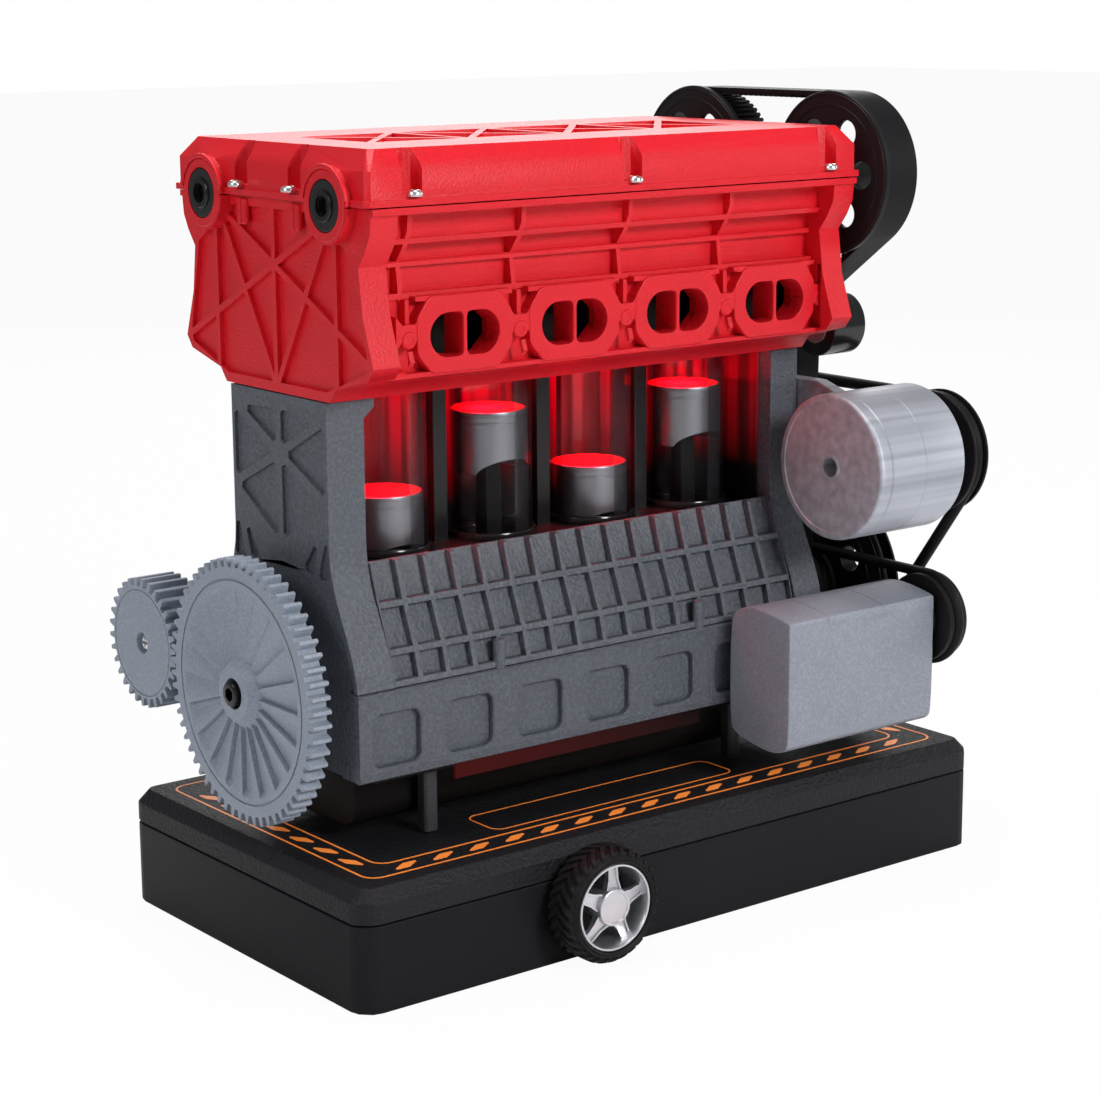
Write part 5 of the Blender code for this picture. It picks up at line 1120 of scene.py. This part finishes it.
def makeRoundBeltDrive():
    look = pulleys
    low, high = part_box("accessory_pulley")
    near, far, largeBelt = look["near"], high.x, (look["belt"], look["wire"])
    smallGroove = (look["smallBelt"], look["small"], look["smallWire"], look["smallRim"])
    largeGroove = (look["belt"], look["large"], look["wire"], look["rim"])
    profile = [(low.x, look["bore"])] + grooveProfile(low.x, near, *smallGroove)
    profile += grooveProfile(near, far, *largeGroove) + [(far, look["bore"])]
    drum = lathed("crank_belt_wheel", "pulleyPlastic", "x", [(crankCentre, profile, 144)])
    spots = [polar(look["circle"], (k + 0.5) * pi / 3, crankCentre) for k in range(look["holes"])]
    holes = [ring(spot, look["hole"], 40) for spot in spots]
    carved(drum, "x", [([hole], low.x - mm, far + mm) for hole in holes])
    riding(drum, "crankshaft", ("accessory_pulley",))
    lines = [(crankCentre, ridge(near, radius, look["lineHalf"], look["lineHalf"] / 2, look["proud"]), 120)
             for radius in look["lines"]]
    turned("crank_belt_wheel_lines", "pulleyPlastic", "crankshaft", "x", lines)
    rim = grooveProfile(near, far, look["belt"], look["idler"], look["wire"], look["idlerRim"])
    profile = [(near, look["idlerBore"])] + rim + [(far, look["idlerBore"])]
    turned("idler_wheel", "pulleyPlastic", "idler", "x", [(centreOf("idler_spin"), profile, 96)],
           ("idler_pulley",))

    alternatorGroove = (look["belt"], look["alternator"], look["wire"], look["alternatorRim"])
    driven = [("alternator", near, 1.6 * mm, alternatorGroove, "grey_plastic"),
              ("compressor", look["smallNear"], 1.3 * mm, smallGroove, "black_plastic")]
    for name, start, step, groove, slot in driven:
        low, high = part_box(name + "_pulley")
        profile = [(low.x, 0), (low.x, look["shaft"]), (start - step, look["shaft"]),
                   (start - step, look["hub"]), (start, look["hub"])]
        profile += grooveProfile(start, high.x, *groove) + [(high.x, 0)]
        turned(name + "_pulley_wheel", "pulleyPlastic", name + "_rotor", "x",
               [(centreOf(name + "_spin"), profile, 96)], (name + "_pulley",), slot=slot)

    largeWheels = [(crankCentre, look["large"]), (centreOf("idler_spin"), look["idler"]),
                   (centreOf("alternator_spin"), look["alternator"])]
    smallWheels = [(crankCentre, look["small"]), (centreOf("compressor_spin"), look["small"])]
    smallBelt = (look["smallBelt"], look["smallWire"])
    for node, (beltAt, wire), wheels in (("alternator_belt", largeBelt, largeWheels),
                                         ("compressor_belt", smallBelt, smallWheels)):
        cord = pathPiece(node + "_cord", beltAt, beltPath(wheels, radians(3)))
        grown(cord, "tube", "beltRubber", Radius=wire, Sides=20)
        riding(cord, "engine", (node,), "belt_rubber")


for name, centre in cams.items():
    makeCamPulley(name, centre)
makeToothedBelt()
makeTensioner()
makeRoundBeltDrive()
print("belt drives")


# Alternator: cap and seam
alternator = sizes(cap=3.7, edge=0.9, groove=0.35, hole=2.4, holeDeep=11.0, sunk=0.15, seam=15.0,
                   seamDeep=0.12, lugAt=58.7, lug=3.8)
lugFlats = ((31.0, 7.0), (31.0, 18.2), (17.0, 18.2), (8.95, 15.6), (8.95, 7.0))


def makeAlternator():
    look, (low, high), centre = alternator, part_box("alternator_body"), centreOf("alternator_spin")
    near, far, radius = low.x, high.x, centre[0] - low.y
    edge, groove, hole, sunk, fine = (look[key] for key in ("edge", "groove", "hole", "sunk", "seamDeep"))
    cap, seam = near + look["cap"], near + look["seam"]
    profile = [(near + look["holeDeep"], 0), (near + look["holeDeep"], hole), (near, hole),
               (near, hole + 0.7 * mm), (near + sunk, hole + 0.8 * mm),
               (near + sunk, radius - edge - 1.1 * mm), (near, radius - edge - 0.9 * mm),
               (near, radius - edge)]
    profile += [(near + edge * (1 - cos(turn)), radius - edge * (1 - sin(turn)))
                for turn in (radians(30), radians(60))]
    profile += [(near + edge, radius), (cap - groove, radius), (cap, radius - groove), (cap + groove, radius),
                (seam, radius), (seam + fine, radius - fine), (seam + 2 * fine, radius), (far - edge, radius),
                (far - edge * 0.3, radius - edge * 0.3), (far, radius - edge), (far, 0)]
    turned("alternator_case", "silkPlastic", "engine", "x", [(centre, profile, 160)], ("alternator_body",))
    flats = [(centre[0] + first * mm, centre[1] + second * mm) for first, second in lugFlats]
    lug = ([flats], look["lugAt"], look["lugAt"] + look["lug"])
    slabs("alternator_lug", "silkPlastic", "engine", "x", [lug], 0.3 * mm)


makeAlternator()
print("alternator")


# Camshafts with round end caps, and the screws of the valve cover
camshaft = {**sizes(cap=5.6, edge=0.35, shaft=3.8, lobe=4.2, lift=1.0, lobeHalf=3.0, capEnd=9.6, socket=4.4,
                    socketDeep=1.6, hub=3.5, hubProud=0.55, hubEdge=0.3, hubGap=0.08), "steps": 64,
                    "order": (0, 1, 3, 2)}
cylinderX = [middleOf(*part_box(f"sleeve_{k}"), "x")[0] for k in range(1, 5)]


def makeCamshaft(name, centre):
    look, (low, high) = camshaft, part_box("camshaft_" + name)
    edge, shaft, half = look["edge"], look["shaft"], look["lobeHalf"]
    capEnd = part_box("cylinder_head")[0].x + look["capEnd"]
    stations = [(low.x, look["cap"] - edge, 0, 0), (low.x + edge * 0.4, look["cap"] - edge * 0.3, 0, 0),
                (low.x + edge, look["cap"], 0, 0), (capEnd, look["cap"], 0, 0), (capEnd, shaft, 0, 0)]
    for x, place in zip(cylinderX, look["order"]):
        lobe = (look["lobe"], look["lift"], -pi / 2 * place)
        stations += [(x - half, shaft, 0, 0), (x - half, *lobe), (x + half, *lobe), (x + half, shaft, 0, 0)]
    stations.append((high.x, shaft, 0, 0))
    mesh = bmesh.new()
    angles = [2 * pi * k / look["steps"] for k in range(look["steps"])]
    rows = []
    for x, radius, lift, turn in stations:
        reach = [radius + lift * max(0, cos(angle - turn)) for angle in angles]
        rows.append(loop(mesh, "x", x, [polar(one, angle, centre) for one, angle in zip(reach, angles)]))
    lofted(mesh, rows, True)
    piece = made("camshaft_round_" + name, mesh, "rodPlastic")
    riding(hexSocket(piece, centre, low.x, look["socket"], look["socketDeep"]), "cam_" + name,
           ("camshaft_" + name,))
    proud, foot = low.x - look["hubProud"], low.x + 0.05 * mm
    hub, bore = look["hub"], look["socket"] / 2 + look["hubGap"]
    profile = [(foot, bore), (proud, bore), (proud, hub - look["hubEdge"]), (proud + look["hubEdge"], hub),
               (foot, hub)]
    turned("cam_cap_hub_" + name, "boltSteel", "cam_" + name, "x", [(centre, profile, 64)],
           slot="black_plastic")


coverScrew = {**sizes(radius=1.75, high=1.0, x=(-71.0, -10.5, 50.0), floor=175.8, inset=0.3,
                      endY=(-12.5, 9.5), endInset=0.2), "turn": 0.7, "endTurn": 0.4}


def makeCoverScrews():
    look, (low, high) = coverScrew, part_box("valve_cover")
    places, turns = [], []
    for number, x in enumerate(look["x"]):
        for side, y in ((-1, low.y + look["inset"]), (1, high.y - look["inset"])):
            places.append((x, y, look["floor"]))
            turns.append((0, 0, look["turn"] * number + side))
    for number, y in enumerate(look["endY"]):
        places.append((low.x + look["endInset"], y, look["floor"]))
        turns.append((0, 0, look["endTurn"] + number))
    sown("cover_screws", crossScrew("coverScrewPattern", look["radius"], look["high"]), places, turns,
         "engine")


for name, centre in cams.items():
    makeCamshaft(name, centre)
makeCoverScrews()
print("camshafts and screws")


# Cylinder head: smooth port flanges, lugs between them, and the small ridges of its flywheel end
head = sizes(portLow=5.9, front=-35.0, proud=0.35, deep=5.0, round=3.4, septum=0.5, holeLow=3.4,
             holeRadius=4.85, holeReach=4.5, lugRadius=2.0, lugUp=7.9, lugShift=0.4, notchDeep=3.6,
             gapLow=0.5, gapHigh=16.2, gapDeep=3.3, backs=(-23.0, 20.0), backInset=6.0, postX=-82.1,
             postY=(10.3, -11.7), postStep=0.95)
portFlats = ((-12.9, 4.6), (-8.9, 0.0), (8.9, 0.0), (12.9, 4.6), (12.9, 12.4), (9.6, 17.0), (-9.6, 17.0),
             (-12.9, 12.4))
neckFlats = ((-3.4, 5.6), (-1.7, 7.9), (1.7, 7.9), (3.4, 5.6), (3.4, 13.2), (1.7, 11.2), (-1.7, 11.2),
             (-3.4, 13.2))


def placed(flats, base, x):
    return [(base + up * mm, x + across * mm) for across, up in flats]


def portHole(x, base, side):
    # one D-shaped port: straight by the septum, round outside
    low, near = head["holeLow"], head["septum"]
    high = low + 2 * head["holeRadius"]
    corner = ((1.1 * mm, 0), (0.3 * mm, 0.35 * mm), (0, 1.2 * mm))
    flats = [(near + out, low + up) for out, up in corner]
    flats += [(near + out, high - up) for out, up in reversed(corner)]
    arc = ring((low + head["holeRadius"], head["holeReach"]), head["holeRadius"], 24, 0, pi)
    flats += [(across, up) for up, across in arc]
    return [(base + up, x + side * across) for across, up in flats]


def portEdge(x, base, inset=0.0):
    return drawnIn(rounded(placed(portFlats, base, x), head["round"], 8), inset)


def gapOutline(left, right, base):
    # the space between two ports, or between a port and a straight line where x is in a tuple
    low, high = base + head["gapLow"], base + head["gapHigh"]
    sides = []
    for x, turn in ((left, 1), (right, -1)):
        if isinstance(x, tuple):
            sides.append([(low, x[0]), (high, x[0])])
        else:
            flats = [flat for flat in portEdge(x, base, 0.25 * mm) if low < flat[0] < high]
            sides.append(sorted(flat for flat in flats if (flat[1] - x) * turn > 8.0 * mm))
    return sides[0] + sides[1][::-1]


def makePorts():
    base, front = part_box("cylinder_head")[0].z + head["portLow"], head["front"] - head["proud"]
    back, wide = front + head["deep"], head["lugRadius"]
    flanges = [([portEdge(x, base), portHole(x, base, -1), portHole(x, base, 1)], front, back)
               for x in cylinderX]
    slabs("port_flanges", "headPlastic", "engine", "y", flanges, 0.28 * mm)
    half = (cylinderX[1] - cylinderX[0]) / 2
    lugX = [cylinderX[0] - half + head["lugShift"]] + [x + half for x in cylinderX]
    lugX[-1] -= head["lugShift"]
    profile = [(front + 0.15 * mm, 0), (front + 0.15 * mm, 0.9 * mm), (front, 1.1 * mm), (front, 1.7 * mm),
               (front + 0.3 * mm, wide), (back, wide), (back, 0)]
    lugs = [((base + head["lugUp"], x), profile, 40) for x in lugX]
    turned("port_lugs", "headPlastic", "engine", "y", lugs)
    necks = []
    for x in lugX:
        rib = boxOutline(base + 10.5 * mm, x - 0.55 * mm, base + 16.6 * mm, x + 0.55 * mm)
        necks += [([placed(neckFlats, base, x)], front + 0.2 * mm, back), ([rib], front + 0.9 * mm, back)]
    pairs = [((lugX[0] - mm,), cylinderX[0]), *zip(cylinderX, cylinderX[1:]),
             (cylinderX[-1], (lugX[-1] + mm,))]
    gaps = [[gapOutline(left, right, base)] for left, right in pairs]
    necks += [(gap, front + head["gapDeep"], back) for gap in gaps]
    slabs("port_necks", "headPlastic", "engine", "y", necks, 0.25 * mm)
    low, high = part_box("valve_cover")
    ends = boxOutline(base + mm, low.x + head["backInset"], base + 17 * mm, high.x - head["backInset"])
    slabs("port_backs", "sumpPlastic", "engine", "y",
          [([ends], y, y + mm) for y in head["backs"]])  # the ports' far ends, black as painted shade deep in the ports
    carved(bpy.data.objects["cylinder_head_skin"], "y",
           [(gap, head["front"] - mm, head["front"] + head["notchDeep"]) for gap in gaps])


coverArc = {**sizes(outer=8.95, inner=7.9, proud=0.35), "outerEnds": (8, 164), "innerEnds": (172, -164)}


def makeHeadEnd():
    edge, arcs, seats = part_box("valve_cover")[0].x + 0.3 * mm, [], []
    for name, centre in cams.items():
        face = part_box("camshaft_" + name)[0].x
        outline = ring(centre, coverArc["outer"], 30, *(radians(turn) for turn in coverArc["outerEnds"]))
        outline += ring(centre, coverArc["inner"], 30, *(radians(turn) for turn in coverArc["innerEnds"]))
        arcs.append(([outline], face - coverArc["proud"], edge))
        profile = [(face + 0.5 * mm, 5.75 * mm), (face + 0.02 * mm, 5.75 * mm), (face + 0.02 * mm, 7.5 * mm),
                   (face + 0.25 * mm, 7.75 * mm), (face + 0.5 * mm, 7.75 * mm)]
        seats.append((centre, profile, 96))
    slabs("cover_arcs", "headPlastic", "engine", "x", arcs, 0.3 * mm)
    turned("cam_seats", "headPlastic", "engine", "x", seats)
    post = [(166.9 * mm, 0), (166.9 * mm, 0.55 * mm), (167.3 * mm, 0.9 * mm), (172.6 * mm, 0.9 * mm),
            (172.6 * mm, 0)]
    posts = [((head["postX"], y + side * head["postStep"]), post, 24)
             for y in head["postY"] for side in (-1, 1)]
    turned("head_end_posts", "headPlastic", "engine", "z", posts)


makePorts()
makeHeadEnd()
print("head")


# Block: dark walls round the cylinders with the red lamps' light painted on, the one on the end plate's inner
# face a black sheet of painted shade, two small bosses on the ribs, and the dim red strip under the skirt, with
# painted red light
innerWall = sizes(y=10.3, thick=1.6, left=-69.1, right=49.3, top=0.1, front=-17.0, liner=0.5, drop=0.1)
sideBoss = sizes(x=(-42.6, 17.8), y=-30.6, low=65.6, high=72.8, radius=1.35, edge=0.3, topEdge=0.2, deep=1.5)
sumpStrip = sizes(left=-54, right=20, low=41.2, high=45.2, proud=0.25, sunk=0.4)


def makeBlockDetails():
    y, right = innerWall["y"], innerWall["right"]
    foot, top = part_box("sleeve_1")[0].z - innerWall["drop"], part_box("cylinder_deck")[1].z - innerWall["top"]
    back = ([boxOutline(foot, innerWall["left"], top, right)], y, y + innerWall["thick"])
    slabs("cylinder_back_wall", "wallGlow", "engine", "y", [back], 0.2 * mm)
    # a black sheet on the end plate's inner face: painted shade, with the red lamps' light painted on its front
    liner = ([boxOutline(innerWall["front"], foot, y, top)], right - innerWall["liner"], right)
    slabs("cylinder_end_liner", "wallGlow", "engine", "x", [liner], 0.15 * mm)
    radius, low, high, edge, topEdge = (sideBoss[key] for key in ("radius", "low", "high", "edge", "topEdge"))
    profile = [(low, 0), (low, radius - edge), (low + edge, radius), (high - topEdge, radius),
               (high, radius - topEdge), (high, radius * 0.5), (high - sideBoss["deep"], radius * 0.4),
               (high - sideBoss["deep"], 0)]
    turned("side_bosses", "blockPlastic", "engine", "z",
           [((x, sideBoss["y"]), profile, 32) for x in sideBoss["x"]])
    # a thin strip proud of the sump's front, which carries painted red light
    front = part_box("oil_sump")[0].y
    outline = boxOutline(sumpStrip["low"], sumpStrip["left"], sumpStrip["high"], sumpStrip["right"])
    strip = ([outline], front - sumpStrip["proud"], front + sumpStrip["sunk"])
    slabs("sump_strip", "sumpGlow", "engine", "y", [strip])


makeBlockDetails()
print("block details")


# Front skirt: a sheet with round-cornered windows on a plain backing
skirt = {**sizes(deep=1.7, pitch=20.2, shift=0.6, wide=13.0, high=12.3, rise=2.8, round=2.3, cut=0.3,
                 inset=0.1, lineHalf=0.3, lineLow=1.25, lineHigh=0.5), "count": 7}


def makeSkirt():
    look, (low, high) = skirt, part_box("skirt_front")
    inset, x, z = look["inset"], (low.x + high.x) / 2 + look["shift"], low.z + look["rise"] + look["high"] / 2
    up, across, sheet = look["high"] / 2, look["wide"] / 2, low.y + look["deep"]
    windows = []
    for k in range(look["count"]):
        middle = x + (k - (look["count"] - 1) / 2) * look["pitch"]
        windows.append(rounded(boxOutline(z - up, middle - across, z + up, middle + across), look["round"]))
    mesh = bmesh.new()
    chamfered(mesh, "y", boxOutline(low.z, low.x, high.z, high.x), windows, low.y, sheet + 0.01 * mm,
              look["cut"])
    riding(made("skirt_windows", mesh, "blockPlastic"), "engine", ("skirt_front",))
    backing = ([boxOutline(low.z + inset, low.x + inset, high.z - inset, high.x - inset)], sheet, high.y)
    slabs("skirt_backing", "blockPlastic", "engine", "y", [backing])
    half = look["lineHalf"]
    lines = [([boxOutline(at - half, low.x + inset, at + half, high.x - inset)], low.y - proud, low.y + inset)
             for at, proud in ((low.z + look["lineLow"], 0.22 * mm), (high.z - look["lineHigh"], 0.25 * mm))]
    slabs("skirt_lines", "blockPlastic", "engine", "y", lines, 0.15 * mm)


makeSkirt()
print("skirt")


# Compressor: a smooth case with two seam lines, on two pairs of pegs.
# Its outline is in shares of depth and height
compressor = {**sizes(depth=21.4, seam=0.20, edge=0.5, pegRadius=1.5, pegRise=8.6, pegX=(29.1, 49.5)),
              "seams": (0.26, 0.64), "seamFrom": 0.88, "turns": (0, 22, 45, 68, 90)}
caseShares = ((0.0, 0.10), (0.0, 0.915), (0.004, 0.935), (0.03, 0.95), (0.36, 0.99), (0.66, 1.0),
              (0.90, 0.955), (1.0, 0.86), (1.0, 0.14), (0.91, 0.06), (0.55, 0.015), (0.26, 0.0), (0.06, 0.04))


def softOutline(flats, rounds=3):
    # corners cut again and again, which leaves a smooth closed line
    for _ in range(rounds):
        points = []
        for here, after in zip(flats, flats[1:] + flats[:1]):
            points += [tuple(Vector(here).lerp(Vector(after), share)) for share in (0.25, 0.75)]
        flats = points
    return flats


def makeCompressor():
    look, (low, high) = compressor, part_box("compressor_body")
    edge, seam, tall, back = look["edge"], look["seam"], high.z - low.z, low.y + look["depth"]
    flats = softOutline([(low.y + look["depth"] * across, low.z + tall * up) for across, up in caseShares])
    rim = [(edge * (1 - cos(radians(turn))), edge * (1 - sin(radians(turn)))) for turn in look["turns"]]
    stations = [(low.x + along, margin) for along, margin in rim]
    for share in look["seams"]:
        x = low.x + (high.x - low.x) * share
        stations += [(x - seam, 0), (x, seam), (x + seam, 0)]
    stations += [(high.x - along, margin) for along, margin in reversed(rim)]
    mesh = bmesh.new()
    top = low.z + tall * look["seamFrom"]  # the seam lines cross the top alone
    rows = []
    for x, margin in stations:
        pulled = drawnIn(flats, margin)
        if low.x + edge < x < high.x - edge:
            pulled = [inner if flat[1] > top else flat for inner, flat in zip(pulled, flats)]
        rows.append(loop(mesh, "x", x, pulled))
    lofted(mesh, rows, True)
    riding(made("compressor_case", mesh, "rowedPlastic", 28), "engine", ("compressor_body",))
    middle = middleOf(*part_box("skirt_front"), "z")[0]
    pegs = [((middle + side * look["pegRise"], x), rod(back - mm, high.y, look["pegRadius"]), 32)
            for x in look["pegX"] for side in (-1, 1)]
    turned("compressor_pegs", "silkPlastic", "engine", "y", pegs)


makeCompressor()
print("compressor")


# Camera at the photograph's place, for a square frame
view = {"place": (-0.3859, -0.4919, 0.2173), "azimuth": -37.836, "elevation": 12.158, "roll": -0.399,
        "focal": 2591.6, "frame": 1100, "sensor": 36.0}


def makeCamera():
    azimuth, elevation, roll = (radians(view[key]) for key in ("azimuth", "elevation", "roll"))
    back = Vector((sin(azimuth) * cos(elevation), -cos(azimuth) * cos(elevation), sin(elevation)))
    right = (-back).cross(Vector((0, 0, 1))).normalized()
    up = right.cross(-back)
    data = bpy.data.cameras.new("camera")
    data.sensor_width = view["sensor"]
    data.lens = view["focal"] / view["frame"] * view["sensor"]
    data.clip_start = 0.01
    camera = linked("camera", data)
    across, tall = right * cos(roll) + up * sin(roll), up * cos(roll) - right * sin(roll)
    turn = Matrix((across, tall, back)).transposed().to_4x4()
    camera.matrix_world = Matrix.Translation(view["place"]) @ turn
    bpy.context.scene.camera = camera


# Soft studio light: large panels, a world that is white only to the camera,
# and small red lamps over the pistons
panels = {
    "key_panel": ((0.12, -0.92, 0.55), 0.30, 6.4), "left_panel": ((-0.85, -0.10, 0.55), 0.35, 2.1),
    "right_panel": ((0.85, -0.30, 0.30), 0.32, 1.2), "top_panel": ((-0.05, 0.05, 0.95), 0.50, 5.2),
    "rear_panel": ((0.55, 0.75, 0.50), 0.60, 2.6),
}
redLamp = {"tone": (1.0, 0.012, 0.035), "power": 0.050, "size": 8 * mm, "z": 129.6 * mm,
           "spread": radians(84)}
aim = Vector((0, 0, 0.09))


def panelLamp(name, place, size, power):
    data = bpy.data.lights.new(name, "AREA")
    data.shape = "DISK"
    data.size = size
    data.energy = power
    lamp = linked(name, data)
    lamp.matrix_world = Matrix.Translation(place)
    return lamp


def makeLight():
    for name, (place, size, power) in panels.items():
        lamp = panelLamp(name, place, size, power)
        lamp.matrix_world @= (Vector(place) - aim).to_track_quat("Z", "Y").to_matrix().to_4x4()
    for number in range(1, 5):
        place = (*middleOf(*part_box(f"sleeve_{number}"), "x", "y"), redLamp["z"])
        lamp = panelLamp(f"red_lamp_{number}", place, redLamp["size"], redLamp["power"])
        lamp.data.color = redLamp["tone"]
        lamp.data.spread = redLamp["spread"]
    world = bpy.data.worlds.new("studio")
    bpy.context.scene.world = world
    world.use_nodes = True
    world.node_tree.nodes.clear()
    graph = Graph(world.node_tree)
    dim = graph.add("ShaderNodeBackground", {"Color": (0.93, 0.96, 1.0, 1), "Strength": 0.06})
    white = graph.add("ShaderNodeBackground", {"Color": (1, 1, 1, 1), "Strength": 1.0})
    mixed = graph.add("ShaderNodeMixShader", {0: seenRays(graph), 1: dim, 2: white})
    graph.add("ShaderNodeOutputWorld", {"Surface": mixed})


def seenRays(graph):
    # 1 for what the camera sees, straight or through clear plastic, and a share of it for reflections
    path = graph.add("ShaderNodeLightPath")
    seen = path + path.other("Is Transmission Ray") + path.other("Is Glossy Ray") * 0.2
    return graph.sum("MINIMUM", seen, 1.0)


floorLook = {"half": 5.0, "thick": 0.01, "drop": 0.2 * mm, "share": 0.955}


def floorPaper(graph, place):
    skin = graph.blend(graph.noise(place, 0.2), (0.86, 0.86, 0.87, 1), (0.90, 0.90, 0.90, 1))
    paper = graph.skin(skin, 0.9, specular=0.0)
    white = graph.add("ShaderNodeEmission", {"Color": (1, 1, 1, 1), "Strength": 1.0})
    return graph.add("ShaderNodeMixShader", {0: seenRays(graph) * floorLook["share"], 1: paper, 2: white})


def makeFloor():
    painted("floorPaper", floorPaper)
    half = floorLook["half"]
    sheet = ([boxOutline(-half, -half, half, half)], -floorLook["thick"], -floorLook["drop"])
    made("floor", flatMesh("z", [sheet]), "floorPaper")


makeCamera()
makeLight()
makeFloor()
bpy.context.scene.view_settings.view_transform = "Standard"
print("camera, light and floor")
